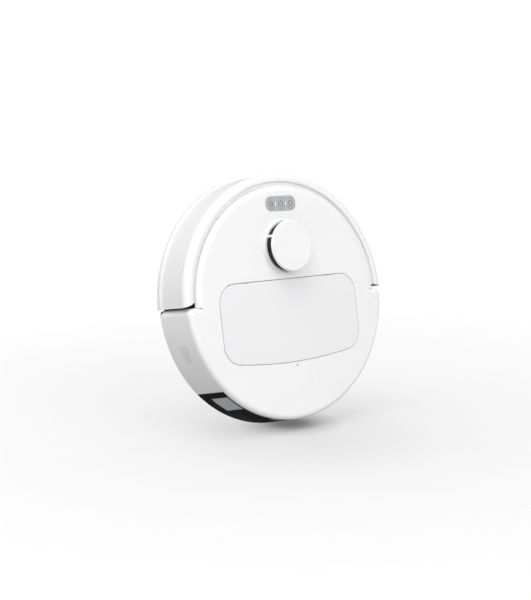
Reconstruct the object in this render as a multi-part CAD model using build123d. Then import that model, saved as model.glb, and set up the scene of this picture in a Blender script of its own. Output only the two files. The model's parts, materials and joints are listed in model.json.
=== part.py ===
from build123d import *
import os
from math import asin, atan2, cos, degrees, pi, radians, sin, sqrt

# A robot vacuum of the round, laser-guided kind, one STEP file for each piece.
# Frame: millimetres, z = 0 is the floor it drives on, +Z is up, it drives towards -Y,
# and +X is its own left.  The origin is on the floor below the middle of the body.

# ------------------------------------------------------------------ driving dimensions
# Body
BODY_RADIUS = 170.0        # outer radius of the body and the bumper
COVER_TOP = 77.0           # height of the flat top of the cover
TURRET_TOP = COVER_TOP + 17.5  # height of the laser turret's cap, the highest point
GROUND_CLEARANCE = 10.0    # height of the underside
RIM_BEVEL = 5.0            # bevel round the lower edge of the rear half
SHELL = 2.4                # wall of the cover and the lower housing
REAR_LEAN = 4.0            # how far the rear half's side leans in by its top
REAR_LEAN_BACK = 2.5       # how much further it leans in at the very back
REAR_ROUNDING = 6.5        # rounding of the rear half's upper edge
REAR_FACE_Y = -0.5         # front face of the rear half, where the bumper stops
REAR_CORNER = 9.0          # upright rounding of the rear half beside the bumper
FRONT_WALL_RADIUS = BODY_RADIUS - 24.0  # wall of the lower housing behind the bumper
FRONT_FLOOR_RADIUS = BODY_RADIUS - 10.0
BRIM_RADIUS = BODY_RADIUS - 17.4  # edge of the cover where it overhangs the bumper
BRIM_DROP = 5.9            # how far that edge hangs below the cover's top
BRIM_OVERLAP = 2.7         # how far the bumper's flange reaches in under the brim
CLEAR = 0.3                # usual gap between a moving piece and its neighbour
RUNNING = 0.05             # radial clearance of a shaft that turns in its hole
SEATED = 0.02              # radial clearance of a pin that stays in its hole
SNUG = 0.05                # gap round a piece that sits still in an opening

# Bumper
BUMPER_TRAVEL = 3.5
BUMPER_TOP_GAP = 0.5       # below the cover's brim
BUMPER_WALL = 2.2
BUMPER_LIP_HEIGHT = 7.0
BUMPER_LOW = 10.5
BUMPER_PROUD = 1.5         # how far its lower strip stands out beyond the body
BUMPER_INSET = 1.1         # how far its wall stands in from the body's radius
BUMPER_RIDGE_DROP = 1.5    # its rounded ridge lies this far below the cover's top
BUMPER_ROUNDING = 8.0
BUMPER_FLANK = 140.0       # its slanted ends start inside this half width
BUMPER_END_OUT = -2.0      # y of the bumper's ends at the outside
BUMPER_END_SLOPE = 5.0 / 17.0

# Lid over the dust bin
LID_HALF_WIDTH = 117.0
LID_FRONT = -25.6
LID_REAR = 86.3
LID_BOW = 9.9              # how much further back the rear edge is at its middle
LID_CORNER = 26.0
LID_SEAM = 0.6
LID_EDGE = 0.6             # rounding of its upper edge
LID_BARREL = 1.5           # radius of the rounded hinge edge
LID_PIN_RADIUS = 0.5
LID_EAR_X = 70.0
LID_EAR_WIDTH = 4.0
LID_EAR_RADIUS = 0.95
LID_TRAVEL = 80            # degrees that the lid opens by
SWING_CLEAR = 0.2          # air round the lid's corners as it turns
DECK_LOW = COVER_TOP - 6.6
DECK_THICK = 1.8

# Laser turret
TURRET_Y = -69.2
TURRET_HOLE = 34.0
TURRET_RING_RADIUS = 37.6
TURRET_WINDOW_RADIUS = 33.0
TURRET_CAP_RADIUS = 35.0
TURRET_CAP_TOP_RADIUS = 33.2
TURRET_WINDOW_LOW = COVER_TOP + 3.4
TURRET_WINDOW_HIGH = COVER_TOP + 14.4
TURRET_POSTS = (-26.0, 90.0, 206.0)
ROTOR_RADIUS = 28.0
ROTOR_PULLEY = 24.0
MOTOR_PULLEY = 4.0
LIDAR_PLATE_LOW = COVER_TOP - 17.0
LIDAR_PLATE_THICK = 2.4
LIDAR_POST_CIRCLE = 37.2
LIDAR_MOTOR_X = -46.0
LIDAR_MOTOR_Y = -82.0
BEARING_BORE = 14.0

# Buttons
BUTTON_Y = -127.8
BUTTON_PITCH = 17.0
BUTTON_RADIUS = 7.3
BUTTON_TRAVEL = 0.8
PILL_LENGTH = 51.2
PILL_WIDTH = 20.0
PILL_CORNER = 8.6
PILL_PROUD = 0.25
BOARD_LOW = COVER_TOP - 11.0
BOARD_THICK = 1.6
SWITCH_HEIGHT = 3.0

# Drive wheels
WHEEL_Y = 12.0
WHEEL_RADIUS = 33.0
TYRE_WIDTH = 18.0
TYRE_THICK = 6.0
WHEEL_INNER_X = 107.0
ARM_PIVOT_Y = -32.0
ARM_PIVOT_Z = 30.0
ARM_WIDTH = 10.0
ARM_PIN_RADIUS = 3.0
AXLE_RADIUS = 3.0
WELL_INNER_X = 88.0
WELL_OUTER_X = 131.0
WELL_FRONT = -44.0
WELL_REAR = 49.5
WELL_TOP = 2 * WHEEL_RADIUS + 2.0
WELL_WALL = 2.0

# Front caster
CASTER_Y = -121.0
CASTER_TRAIL = 3.0
CASTER_RADIUS = 12.0
CASTER_WIDTH = 11.0
CASTER_BODY = 16.2
CASTER_STEM = 4.0
CASTER_AXLE = 2.0
CASTER_WELL_TOP = 29.0

# Main brush
BRUSH_Y = -40.0
BRUSH_Z = 19.0
BRUSH_RADIUS = 17.0
BRUSH_CORE = 6.0
BRUSH_HALF = 70.0
CHAMBER_RADIUS = 19.5
FIN_COUNT = 6
FIN_THICK = 2.2
FIN_TWIST = 50.0
GEAR_MODULE = 0.8
BRUSH_TEETH = 18
IDLER_TEETH = 28
PINION_TEETH = 12
GEAR_WIDTH = 4.0
GEAR_X = -82.0
GEARBOX_WALL = 1.8
BUSH_RADIUS = 6.0

# Side brush
SIDE_BRUSH_X = -79.0
SIDE_BRUSH_Y = -101.0
SIDE_BRUSH_ARMS = (225.0, 345.0, 105.0)
SIDE_BRUSH_REACH = 44.5

# Dust bin, its bay, and the fan behind it
BAY_HALF_WIDTH = 84.0
BAY_FRONT = -13.0
BAY_REAR = 84.0
BAY_LOW = 20.0
BAY_WALL = 1.6
BIN_GAP = 1.0
BIN_TOP = COVER_TOP - 11.0
BIN_WALL = 1.8
MOUTH_HALF_WIDTH = 50.0
MOUTH_LOW = 25.0
MOUTH_HIGH = 33.0
FAN_X = BAY_HALF_WIDTH - 30.0
FAN_Z = 42.0
FAN_RADIUS = 27.0
FAN_DEPTH = 25.0
FAN_INLET = 13.0
IMPELLER_RADIUS = 22.0

# Rear panel, exhaust and charging contacts: angles from +Y towards +X
PANEL_HALF_ANGLE = 47.5
PANEL_TOP = COVER_TOP - 7.6
GRILLE_FROM = 33.0
GRILLE_TO = 43.5
GRILLE_LOW = 32.0
GRILLE_HIGH = 66.0
CONTACT_FROM = 8.5
CONTACT_TO = 15.0
CONTACT_LOW = 57.0
CONTACT_HIGH = 67.0
SPEAKER_ANGLE = 69.5
SPEAKER_Z = 46.0

# Battery
BATTERY_HALF = 64.0
BATTERY_FRONT = -100.0
BATTERY_REAR = -63.5
BATTERY_TOP = 42.0

# Status light behind the lid, and the speaker
STATUS_RADIUS = 1.55
SPEAKER_RADIUS = 13.0

# Housing screws and drop sensors in the floor, as (x, y)
SCREW_TOP = 24.0
SCREW_PLACES = [(145.0, 30.0), (-145.0, 30.0), (112.0, 104.0), (-112.0, 104.0)]
SCREW_PLACES += [(0.0, 150.0), (68.0, -118.0), (-58.0, -120.0), (108.0, -80.0)]
CLIFF_PLACES = [(36.0, -130.0), (-36.0, -130.0), (118.0, -60.0), (-118.0, -60.0)]

# ------------------------------------------------------------------ values worked out
BOTTOM = GROUND_CLEARANCE
FLOOR = BOTTOM + SHELL                     # top of the lower housing's floor
SIDE_LOW = BOTTOM + RIM_BEVEL              # lower edge of the rear half's side
COVER_LOW = COVER_TOP - SHELL
BRIM_LOW = COVER_TOP - BRIM_DROP
BUMPER_TOP = BRIM_LOW - BUMPER_TOP_GAP
LIP_TOP = BUMPER_LOW + BUMPER_LIP_HEIGHT
RIDGE_TOP = COVER_TOP - BUMPER_RIDGE_DROP
RIDGE_FOOT = BRIM_RADIUS + BUMPER_TRAVEL + 2 * CLEAR
BUMPER_INNER = BODY_RADIUS - BUMPER_INSET - BUMPER_WALL
DECK_HIGH = DECK_LOW + DECK_THICK
LID_PIVOT_Y = LID_FRONT + LID_BARREL
LID_PIVOT_Z = COVER_TOP - LID_BARREL
BRUSH_GEAR_R = GEAR_MODULE * BRUSH_TEETH / 2
IDLER_R = GEAR_MODULE * IDLER_TEETH / 2
PINION_R = GEAR_MODULE * PINION_TEETH / 2
IDLER_Z = BRUSH_Z + BRUSH_GEAR_R + IDLER_R
BRUSH_MOTOR_Z = IDLER_Z + IDLER_R + PINION_R
HUB_RADIUS = WHEEL_RADIUS - TYRE_THICK
ARM_INNER_X = WHEEL_INNER_X - ARM_WIDTH - 3.0
CASTER_WHEEL_Y = CASTER_Y + CASTER_TRAIL
BIN_HALF = BAY_HALF_WIDTH - BAY_WALL - BIN_GAP
BIN_FRONT = BAY_FRONT + BAY_WALL + CLEAR
BIN_REAR = BAY_REAR - BAY_WALL - CLEAR
BIN_LOW = BAY_LOW + BAY_WALL
FAN_FRONT = BAY_REAR + 2.0
FAN_BACK = FAN_FRONT + FAN_DEPTH
ROTOR_LOW = LIDAR_PLATE_LOW + LIDAR_PLATE_THICK
LENS_Z = TURRET_WINDOW_LOW + 5.0
FRAME_TOP = COVER_TOP + PILL_PROUD
SWITCH_TOP = BOARD_LOW + BOARD_THICK + SWITCH_HEIGHT + BUTTON_TRAVEL + CLEAR
BUTTON_PLACES = {"button_dock": BUTTON_PITCH, "button_power": 0.0, "button_spot": -BUTTON_PITCH}
GEARBOX_START = GEAR_X - 2.2
GEARBOX_END = GEAR_X + GEAR_WIDTH + 2.2
STATUS_Y = LID_REAR + 5.4
BIG = 2 * BODY_RADIUS

UPRIGHT = (Align.CENTER, Align.CENTER, Align.MIN)
CORNER = (Align.MIN, Align.MIN, Align.MIN)


# ------------------------------------------------------------------ small helpers
def disc(radius, low, high, x=0.0, y=0.0):
    """Upright cylinder between two heights."""
    return Pos(x, y, low) * Cylinder(radius, high - low, align=UPRIGHT)


def tube(outer, inner, low, high, x=0.0, y=0.0):
    """Upright ring between two heights."""
    return disc(outer, low, high, x, y) - disc(inner, low - 1, high + 1, x, y)


def block(x_low, x_high, y_low, y_high, low, high):
    """Box between six limits."""
    return Pos(x_low, y_low, low) * Box(x_high - x_low, y_high - y_low, high - low, align=CORNER)


def rod_x(radius, x_low, x_high, y, z):
    """Cylinder along X."""
    return Pos(x_low, y, z) * Rot(0, 90, 0) * Cylinder(radius, x_high - x_low, align=UPRIGHT)


def rod_y(radius, y_low, y_high, x, z):
    """Cylinder along Y."""
    return Pos(x, y_low, z) * Rot(-90, 0, 0) * Cylinder(radius, y_high - y_low, align=UPRIGHT)


def slab(outline, low, high):
    """Flat outline raised between two heights."""
    return extrude(Pos(0, 0, low) * outline, high - low)


def outline_of(points):
    """Closed flat outline through points."""
    return make_face(Polyline(*points, close=True))


def eased(outline, corners):
    """Round the named corners, each given as its place and its radius."""
    for place, radius in corners:
        corner = outline.vertices().sort_by_distance((place[0], place[1], 0))[0]
        outline = fillet(corner, radius)
    return outline


def turned(outline):
    """Turn a (radius, height) outline about Z."""
    return revolve(Plane.XZ * outline, Axis.Z)


def at_angle(angle):
    """Direction from the centre at an angle from +Y towards +X."""
    return sin(radians(angle)), cos(radians(angle))


def sector(angle_from, angle_to, low, high):
    """Wedge about Z between two angles from +Y towards +X."""
    mid = (angle_from + angle_to) / 2
    spread = [angle_from, mid, angle_to]
    tips = [(BIG * at_angle(a)[0], BIG * at_angle(a)[1]) for a in spread]
    return slab(outline_of([(0, 0)] + tips), low, high)


def both_sides(piece):
    """The piece and its mirror image across the YZ plane."""
    return [piece, mirror(piece, Plane.YZ)]


def save(node, *pieces):
    """Write the solids of one node."""
    solids = []
    for piece in pieces:
        solids.extend(piece.solids())
    shape = solids[0] if len(solids) == 1 else Compound(children=solids)
    export_step(shape, f"parts/{node}.step")


# ------------------------------------------------------------------ outlines shared by pieces
def rear_plan(inset, height=SIDE_LOW):
    """Plan of the rear half at one height, drawn in by inset."""
    edge = REAR_FACE_Y + inset
    share = (height - SIDE_LOW) / (COVER_TOP - SIDE_LOW)
    radius = BODY_RADIUS - REAR_LEAN * share - inset
    forward = REAR_LEAN_BACK * share
    half = Pos(0, -forward) * Circle(radius) & Pos(0, edge + BIG / 2) * Rectangle(2 * BIG, BIG)
    tip = sqrt(radius**2 - (edge + forward) ** 2)
    corner = REAR_CORNER - inset
    return eased(half, [((tip, edge), corner), ((-tip, edge), corner)])


def rear_body(inset, low):
    """Solid of the rear half's outside, drawn in by inset."""
    top = COVER_TOP - inset
    plans = [Pos(0, 0, height) * rear_plan(inset, height) for height in (low, top)]
    body = loft(plans, ruled=True)
    rim = body.edges().filter_by_position(Axis.Z, top - 0.01, top + 0.01)
    return fillet(rim, REAR_ROUNDING - inset)


def lid_outline(grow=0.0):
    """Plan of the lid, grown by a seam or a flange."""
    half = LID_HALF_WIDTH
    rear_side = LID_REAR - LID_BOW
    edges = Polyline((half, rear_side), (half, LID_FRONT), (-half, LID_FRONT), (-half, rear_side))
    bow = ThreePointArc((-half, rear_side), (0, LID_REAR), (half, rear_side))
    plan = make_face(edges + bow)
    corners = [(half, LID_FRONT), (-half, LID_FRONT), (half, rear_side), (-half, rear_side)]
    plan = eased(plan, [(corner, LID_CORNER) for corner in corners])
    return offset(plan, grow) if grow else plan


def pill_outline(grow=0.0):
    """Plan of the button panel."""
    pill = RectangleRounded(PILL_LENGTH + 2 * grow, PILL_WIDTH + 2 * grow, PILL_CORNER + grow)
    return Pos(0, BUTTON_Y) * pill


def bumper_region(low, high):
    """Everything forward of the bumper's slanted ends."""
    reach = BODY_RADIUS + 10
    inner = BUMPER_FLANK

    def end_y(x):
        return BUMPER_END_OUT - (BODY_RADIUS - x) * BUMPER_END_SLOPE

    points = [(-reach, end_y(reach)), (-inner, end_y(inner)), (inner, end_y(inner))]
    points += [(reach, end_y(reach)), (reach, -BIG), (-reach, -BIG)]
    return slab(outline_of(points), low, high)


def stadium_yz(radius_a, a, radius_b, b, x_low, x_high):
    """Plate along X whose outline hugs two circles, given as (y, z) centres."""
    circle_a = Pos(*a) * Circle(radius_a)
    circle_b = Pos(*b) * Circle(radius_b)
    along = (b[0] - a[0], b[1] - a[1])
    gap = sqrt(along[0] ** 2 + along[1] ** 2)
    lean = asin((radius_a - radius_b) / gap)
    facing = atan2(along[1], along[0])
    flank = []
    for side in (1, -1):
        turn = facing + side * (pi / 2 - lean)
        ends = [(a, radius_a), (b, radius_b)]
        pair = [(c[0] + r * cos(turn), c[1] + r * sin(turn)) for c, r in ends]
        flank.extend(pair if side == 1 else pair[::-1])
    plate = circle_a + circle_b + outline_of(flank)
    return extrude(Plane.YZ.offset(x_low) * plate, x_high - x_low)


def involute(angle):
    return sin(angle) / cos(angle) - angle


def gear_outline(teeth, phase):
    """Spur gear outline with involute flanks; phase is the angle of one tooth's middle."""
    pressure = radians(20)
    pitch = GEAR_MODULE * teeth / 2
    base = pitch * cos(pressure)
    tip = pitch + 0.9 * GEAR_MODULE
    root = pitch - 1.2 * GEAR_MODULE
    backlash = 0.10
    half_pitch = pi / (2 * teeth) - backlash / (2 * pitch) + involute(pressure)
    low = max(base, root + 0.05)
    flank = []
    for step in range(5):
        radius = low + (tip - low) * step / 4
        swing = half_pitch - involute(acos_safe(base / radius))
        flank.append((radius, swing))
    points = []
    for tooth in range(teeth):
        middle = radians(phase) + 2 * pi * tooth / teeth
        valley = middle - pi / teeth
        points.append((root * cos(valley), root * sin(valley)))
        points.append((root * cos(middle - flank[0][1]), root * sin(middle - flank[0][1])))
        points += [(r * cos(middle - s), r * sin(middle - s)) for r, s in flank]
        points += [(r * cos(middle + s), r * sin(middle + s)) for r, s in flank[::-1]]
        points.append((root * cos(middle + flank[0][1]), root * sin(middle + flank[0][1])))
    return outline_of(points)


def acos_safe(value):
    """Angle of a cosine that may stand a hair above one."""
    return pi / 2 - asin(min(value, 1.0))


def gear_x(teeth, phase, z):
    """Gear with its axis along X, at the main brush's drive."""
    face = Plane.YZ.offset(GEAR_X) * Pos(BRUSH_Y, z) * gear_outline(teeth, phase)
    return extrude(face, GEAR_WIDTH)


# ------------------------------------------------------------------ cover and lower housing
def brim_profile():
    """Half section of the cover's front: its bevelled edge and its flat top."""
    edge = BRIM_RADIUS
    outside = [(edge, BRIM_LOW), (edge, BRIM_LOW + 2.4), (edge - 1.8, BRIM_LOW + 4.4)]
    outside += [(edge - 5.0, COVER_TOP - 0.6)]
    outside += [(edge - 7.6, COVER_TOP), (0, COVER_TOP), (0, COVER_LOW)]
    under = BRIM_DROP - SHELL
    inside = [(edge - BRIM_OVERLAP - under, COVER_LOW), (edge - BRIM_OVERLAP, BRIM_LOW)]
    return outline_of(outside + inside)


def make_top_cover():
    """White cover: the whole top and the rear half's side, in one moulding."""
    rear = rear_body(0, SIDE_LOW) - rear_body(SHELL, SIDE_LOW - 2)
    front_half = block(-BIG, BIG, -BIG, REAR_FACE_Y + 0.5, 0, BIG)
    cover = rear + (turned(brim_profile()) & front_half)
    cover += disc(BRIM_RADIUS - 7.6, COVER_LOW, COVER_TOP)
    way = FRONT_WALL_RADIUS - SHELL
    cover -= block(-way, way, REAR_FACE_Y - 3, REAR_FACE_Y + 8, SIDE_LOW - 2, COVER_LOW)
    cover -= slab(lid_outline(LID_SEAM), COVER_LOW - 1, COVER_TOP + 1)
    plans = [Pos(0, 0, COVER_TOP + rise) * lid_outline(LID_SEAM + 0.5 + rise) for rise in (-0.5, 0.1)]
    cover -= loft(plans, ruled=True)
    cover -= lid_swing_room()
    cover -= slab(pill_outline(CLEAR / 2), COVER_LOW - 1, COVER_TOP + 1)
    cover -= disc(TURRET_HOLE, COVER_LOW - 1, COVER_TOP + 1, 0, TURRET_Y)
    cover -= disc(STATUS_RADIUS + SNUG, COVER_LOW - 1, COVER_TOP + 1, 0, STATUS_Y)
    window = sector(-PANEL_HALF_ANGLE, PANEL_HALF_ANGLE, SIDE_LOW - 1, PANEL_TOP)
    cover -= window - disc(BODY_RADIUS - 30, 0, BIG)
    return cover - speaker_holes()


def speaker_holes():
    """Round sound holes through the side, in front of the speaker."""
    drill = rod_y(0.8, 150, BODY_RADIUS + 5, 0, 0)
    holes = []
    for column in range(-4, 5):
        for row in range(-2, 3):
            angle = SPEAKER_ANGLE + column * 0.95
            holes.append(Pos(0, 0, SPEAKER_Z + row * 3.0) * Rot(0, 0, -angle) * drill)
    return holes


def make_base_plate():
    """Lower housing: floor, bevelled rim, front wall, wheel wells and brush chamber."""
    lip = [(BODY_RADIUS - RIM_BEVEL, BOTTOM), (BODY_RADIUS, SIDE_LOW), (BODY_RADIUS - SHELL, SIDE_LOW)]
    inner = BODY_RADIUS - RIM_BEVEL - 0.6
    dish = turned(outline_of([(0, BOTTOM)] + lip + [(inner, FLOOR), (0, FLOOR)]))
    rear = dish & slab(rear_plan(0), 0, BIG)
    front = disc(FRONT_FLOOR_RADIUS, BOTTOM, FLOOR) & block(-BIG, BIG, -BIG, REAR_FACE_Y + 1, 0, BIG)
    wall = tube(FRONT_WALL_RADIUS, FRONT_WALL_RADIUS - SHELL, BOTTOM, COVER_LOW)
    wall &= block(-BIG, BIG, -BIG, REAR_FACE_Y, 0, BIG)
    plate = rear + front + wall
    plate += both_sides(well_box())
    plate += chamber_box()
    plate += disc(CASTER_BODY + CLEAR + 2, BOTTOM, CASTER_WELL_TOP + 2, 0, CASTER_Y)
    plate += disc(CASTER_STEM + 3, CASTER_WELL_TOP, CASTER_WELL_TOP + 10, 0, CASTER_Y)
    plate += [disc(4.2, BOTTOM, SCREW_TOP, x, y) for x, y in SCREW_PLACES]
    plate -= both_sides(well_room())
    plate -= chamber_room()
    plate -= disc(CASTER_BODY + CLEAR, BOTTOM - 1, CASTER_WELL_TOP, 0, CASTER_Y)
    plate -= disc(CASTER_STEM + RUNNING, BOTTOM, COVER_TOP, 0, CASTER_Y)
    plate -= disc(6.0, BOTTOM - 1, FLOOR + 1, SIDE_BRUSH_X, SIDE_BRUSH_Y)
    plate -= battery_opening(0, BOTTOM - 1, FLOOR + 1)
    plate -= [disc(3.2, BOTTOM - 1, BOTTOM + 1.6, x, y) for x, y in SCREW_PLACES]
    plate -= [disc(1.4 + SEATED, BOTTOM - 1, SCREW_TOP + 1, x, y) for x, y in SCREW_PLACES]
    plate -= [lens_block(x, y, SNUG, BOTTOM - 1, FLOOR + 1) for x, y in CLIFF_PLACES]
    plate -= gear_room(GEARBOX_WALL + SNUG, GEARBOX_START - SNUG, GEARBOX_END + SNUG)
    return plate


def well_box():
    """Outside of the left wheel's well."""
    low_x = WELL_INNER_X - WELL_WALL
    high_x = WELL_OUTER_X + WELL_WALL
    front = WELL_FRONT - WELL_WALL
    rear = WELL_REAR + WELL_WALL
    return block(low_x, high_x, front, rear, BOTTOM, WELL_TOP + WELL_WALL)


def well_room():
    """Inside of the left wheel's well, with its pin seats."""
    room = block(WELL_INNER_X, WELL_OUTER_X, WELL_FRONT, WELL_REAR, BOTTOM - 1, WELL_TOP)
    low_x = WELL_INNER_X - WELL_WALL - 1
    return room + rod_x(ARM_PIN_RADIUS + SEATED, low_x, WELL_INNER_X + 1, ARM_PIVOT_Y, ARM_PIVOT_Z)


def chamber_box():
    """Outside of the brush chamber, its end boss and the duct to the dust bin."""
    shell = rod_x(CHAMBER_RADIUS + 2, -BRUSH_HALF - 4, BRUSH_HALF + 4, BRUSH_Y, BRUSH_Z)
    shell += rod_x(8.5, BRUSH_HALF + 3, BRUSH_HALF + 8, BRUSH_Y, BRUSH_Z)
    half = MOUTH_HALF_WIDTH + 2
    shell += block(-half, half, BRUSH_Y + 14, BAY_FRONT, MOUTH_LOW - 2, MOUTH_HIGH + 2)
    return shell & block(-BIG, BIG, -BIG, BIG, BOTTOM, BIG)


def chamber_room():
    """Inside of the brush chamber, open below, and its duct."""
    room = rod_x(CHAMBER_RADIUS, -BRUSH_HALF - 2, BRUSH_HALF + 2, BRUSH_Y, BRUSH_Z)
    room += rod_x(BUSH_RADIUS + SEATED, -BRUSH_HALF - 5, BRUSH_HALF + 9, BRUSH_Y, BRUSH_Z)
    half = MOUTH_HALF_WIDTH
    room += block(-half, half, BRUSH_Y + 12, BAY_FRONT + 1, MOUTH_LOW, MOUTH_HIGH)
    low_half = sqrt(CHAMBER_RADIUS**2 - (BRUSH_Z - FLOOR) ** 2)
    reach = BRUSH_HALF + 2
    room += block(-reach, reach, BRUSH_Y - low_half, BRUSH_Y + low_half, BOTTOM - 1, FLOOR + 1)
    return room


def battery_opening(shrink, low, high):
    """Opening under the battery, or drawn in, the door that fills it."""
    half = BATTERY_HALF - shrink
    return block(-half, half, BATTERY_FRONT + shrink, BATTERY_REAR - shrink, low, high)


def lens_block(x, y, grow, low, high):
    """Small window of a drop sensor, set in the floor."""
    half = 7.0 + grow
    deep = 4.0 + grow
    return block(x - half, x + half, y - deep, y + deep, low, high)


def make_battery_door():
    finger = Pos(0, BATTERY_REAR - 7, BOTTOM) * Sphere(6)
    return battery_opening(CLEAR, BOTTOM, FLOOR) - finger


def make_battery():
    """Four cells side by side in a shrink-wrapped pack, with a plug."""
    front = BATTERY_FRONT + 1
    pack = block(-BATTERY_HALF + 2, BATTERY_HALF - 2, front, BATTERY_REAR - 1, FLOOR + 0.4, BATTERY_TOP)
    pack = fillet(pack.edges().filter_by(Axis.X), 6)
    middle = (BATTERY_FRONT + BATTERY_REAR) / 2
    return pack + block(-8, 8, middle - 4, middle + 4, BATTERY_TOP - 1, BATTERY_TOP + 4)


# ------------------------------------------------------------------ rear panel
def rear_skin(inset, deep):
    """Layer of the rear half's skin between two depths."""
    skin = rear_body(inset, SIDE_LOW) - rear_body(inset + deep, SIDE_LOW - 2)
    return skin - disc(BODY_RADIUS - 30, 0, BIG)


def contact_sectors(grow):
    """Where the two charging contacts go through the panel."""
    turn = degrees(grow / BODY_RADIUS)
    spans = [(CONTACT_FROM, CONTACT_TO), (-CONTACT_TO, -CONTACT_FROM)]
    return [sector(a - turn, b + turn, CONTACT_LOW - grow, CONTACT_HIGH + grow) for a, b in spans]


def make_rear_panel():
    """Gloss black panel across the back."""
    span = PANEL_HALF_ANGLE - degrees(2 * SNUG / BODY_RADIUS)
    panel = rear_skin(0, SHELL) & sector(-span, span, SIDE_LOW, PANEL_TOP - 2 * SNUG)
    panel -= sector(GRILLE_FROM, GRILLE_TO, GRILLE_LOW, GRILLE_HIGH)
    return panel - contact_sectors(SNUG)


def make_exhaust_grille():
    """Curved grille with slits, set in the panel's window."""
    turn = degrees(SNUG / BODY_RADIUS)
    window = sector(GRILLE_FROM + turn, GRILLE_TO - turn, GRILLE_LOW + SNUG, GRILLE_HIGH - SNUG)
    grille = rear_skin(0.8, 1.2) & window
    rise = GRILLE_HIGH - GRILLE_LOW
    count = 11
    slits = []
    for number in range(count):
        z = GRILLE_LOW + rise * (number + 0.5) / count
        slits.append(sector(GRILLE_FROM + 0.8, GRILLE_TO - 0.8, z - 0.8, z + 0.8))
    return grille - slits


def make_charging_contacts():
    return [rear_skin(0, 1.4) & span for span in contact_sectors(0)]


def make_speaker():
    """Small round speaker behind the sound holes, with a foam ring against the side."""
    depth = BODY_RADIUS - SHELL - 7
    flange = SPEAKER_RADIUS + 2.5
    driver = rod_y(SPEAKER_RADIUS, depth - 9, depth, 0, SPEAKER_Z)
    driver += rod_y(flange, depth, depth + 1.5, 0, SPEAKER_Z)
    driver += rod_y(8, depth - 14, depth - 9, 0, SPEAKER_Z)
    foam = rod_y(flange, depth + 1.5, depth + 8, 0, SPEAKER_Z)
    foam -= rod_y(flange - 2, depth + 1, depth + 9, 0, SPEAKER_Z)
    turned_in = Rot(0, 0, -SPEAKER_ANGLE) * (driver + foam)
    return turned_in & rear_body(SHELL + SNUG, FLOOR)


# ------------------------------------------------------------------ bumper
def make_bumper_shell():
    """Sprung front half ring: a rounded ridge, and a flange under the cover's brim."""
    out = BODY_RADIUS + BUMPER_PROUD
    wall = BUMPER_WALL
    foot = RIDGE_FOOT
    shoulder = RIDGE_TOP - BUMPER_ROUNDING
    flange = BRIM_RADIUS - BRIM_OVERLAP
    crest = [(BODY_RADIUS - 0.2, RIDGE_TOP), (foot + 1.6, RIDGE_TOP)]
    points = [(out, LIP_TOP), (out, LIP_TOP + 0.8), (BODY_RADIUS - BUMPER_INSET, LIP_TOP + 2.8)] + crest
    points += [(foot, BUMPER_TOP), (flange, BUMPER_TOP), (flange, BUMPER_TOP - wall)]
    points += [(foot + 1.9, BUMPER_TOP - wall), (foot + 2.9, RIDGE_TOP - wall)]
    points += [(foot + 3.9, RIDGE_TOP - wall - 0.6), (BUMPER_INNER, shoulder), (BUMPER_INNER, LIP_TOP)]
    ring = turned(eased(outline_of(points), [(crest[0], BUMPER_ROUNDING), (crest[1], 1.2)]))
    return ring & bumper_region(0, BIG)


def make_bumper_lip():
    """Lower strip of the bumper, that nears the floor."""
    out = BODY_RADIUS + BUMPER_PROUD
    inner = BUMPER_INNER - 1.2
    points = [(out - 1.6, BUMPER_LOW), (out, BUMPER_LOW + 1.6), (out, LIP_TOP)]
    points += [(inner, LIP_TOP), (inner, BUMPER_LOW)]
    return turned(outline_of(points)) & bumper_region(0, BIG)


def make_bumper_switches():
    """Two switches on the front wall that the bumper presses."""
    pieces = []
    for angle in (135.0, -135.0):
        body = block(-6, 6, FRONT_WALL_RADIUS - 0.6, FRONT_WALL_RADIUS + 7, 40, 48)
        body -= disc(FRONT_WALL_RADIUS, 0, BIG)
        button = rod_y(1.6, FRONT_WALL_RADIUS + 6.5, BUMPER_INNER - BUMPER_TRAVEL * 0.72 - CLEAR, 0, 44)
        pieces.append(Rot(0, 0, -angle) * (body + button))
    return pieces


def coil_spring(radius, wire, pitch, length):
    """Round-wire coil standing on z = 0."""
    path = Helix(pitch, length, radius)
    start = path @ 0
    section = Plane(origin=start, z_dir=path % 0) * Circle(wire)
    return sweep(section, path)


# ------------------------------------------------------------------ lid, bay and dust bin
def make_lid():
    """Flush lid over the dust bin, hinged along its rounded front edge."""
    half = LID_HALF_WIDTH
    plate = slab(lid_outline(), COVER_LOW, COVER_TOP)
    barrel = rod_x(LID_BARREL, -half, half, LID_PIVOT_Y, LID_PIVOT_Z)
    barrel &= slab(lid_outline(), COVER_LOW - 1, COVER_TOP)
    top_edges = plate.edges().filter_by_position(Axis.Z, COVER_TOP - 0.01, COVER_TOP + 0.01)
    plate = fillet(top_edges, LID_EDGE)
    plate -= block(-half, half, LID_FRONT - 1, LID_PIVOT_Y, 0, BIG)
    rib = slab(lid_outline(-5), COVER_LOW - 1.2, COVER_LOW) - slab(lid_outline(-6.4), 0, BIG)
    rib &= block(-BIG, BIG, LID_FRONT + 8, BIG, 0, BIG)
    lid = plate + barrel + rib
    reach = LID_EAR_RADIUS + SWING_CLEAR
    slot = LID_EAR_WIDTH / 2 + CLEAR
    pin = slot + 2.2
    for x in (LID_EAR_X, -LID_EAR_X):
        low_x = x - slot
        high_x = x + slot
        lid -= rod_x(reach, low_x, high_x, LID_PIVOT_Y, LID_PIVOT_Z)
        lid -= block(low_x, high_x, LID_FRONT - 1, LID_PIVOT_Y + reach, 0, LID_PIVOT_Z)
        lid -= block(low_x, high_x, LID_FRONT - 1, LID_PIVOT_Y, 0, LID_PIVOT_Z + reach)
        lid -= rod_x(LID_PIN_RADIUS + RUNNING, x - pin, x + pin, LID_PIVOT_Y, LID_PIVOT_Z)
    return lid


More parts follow.
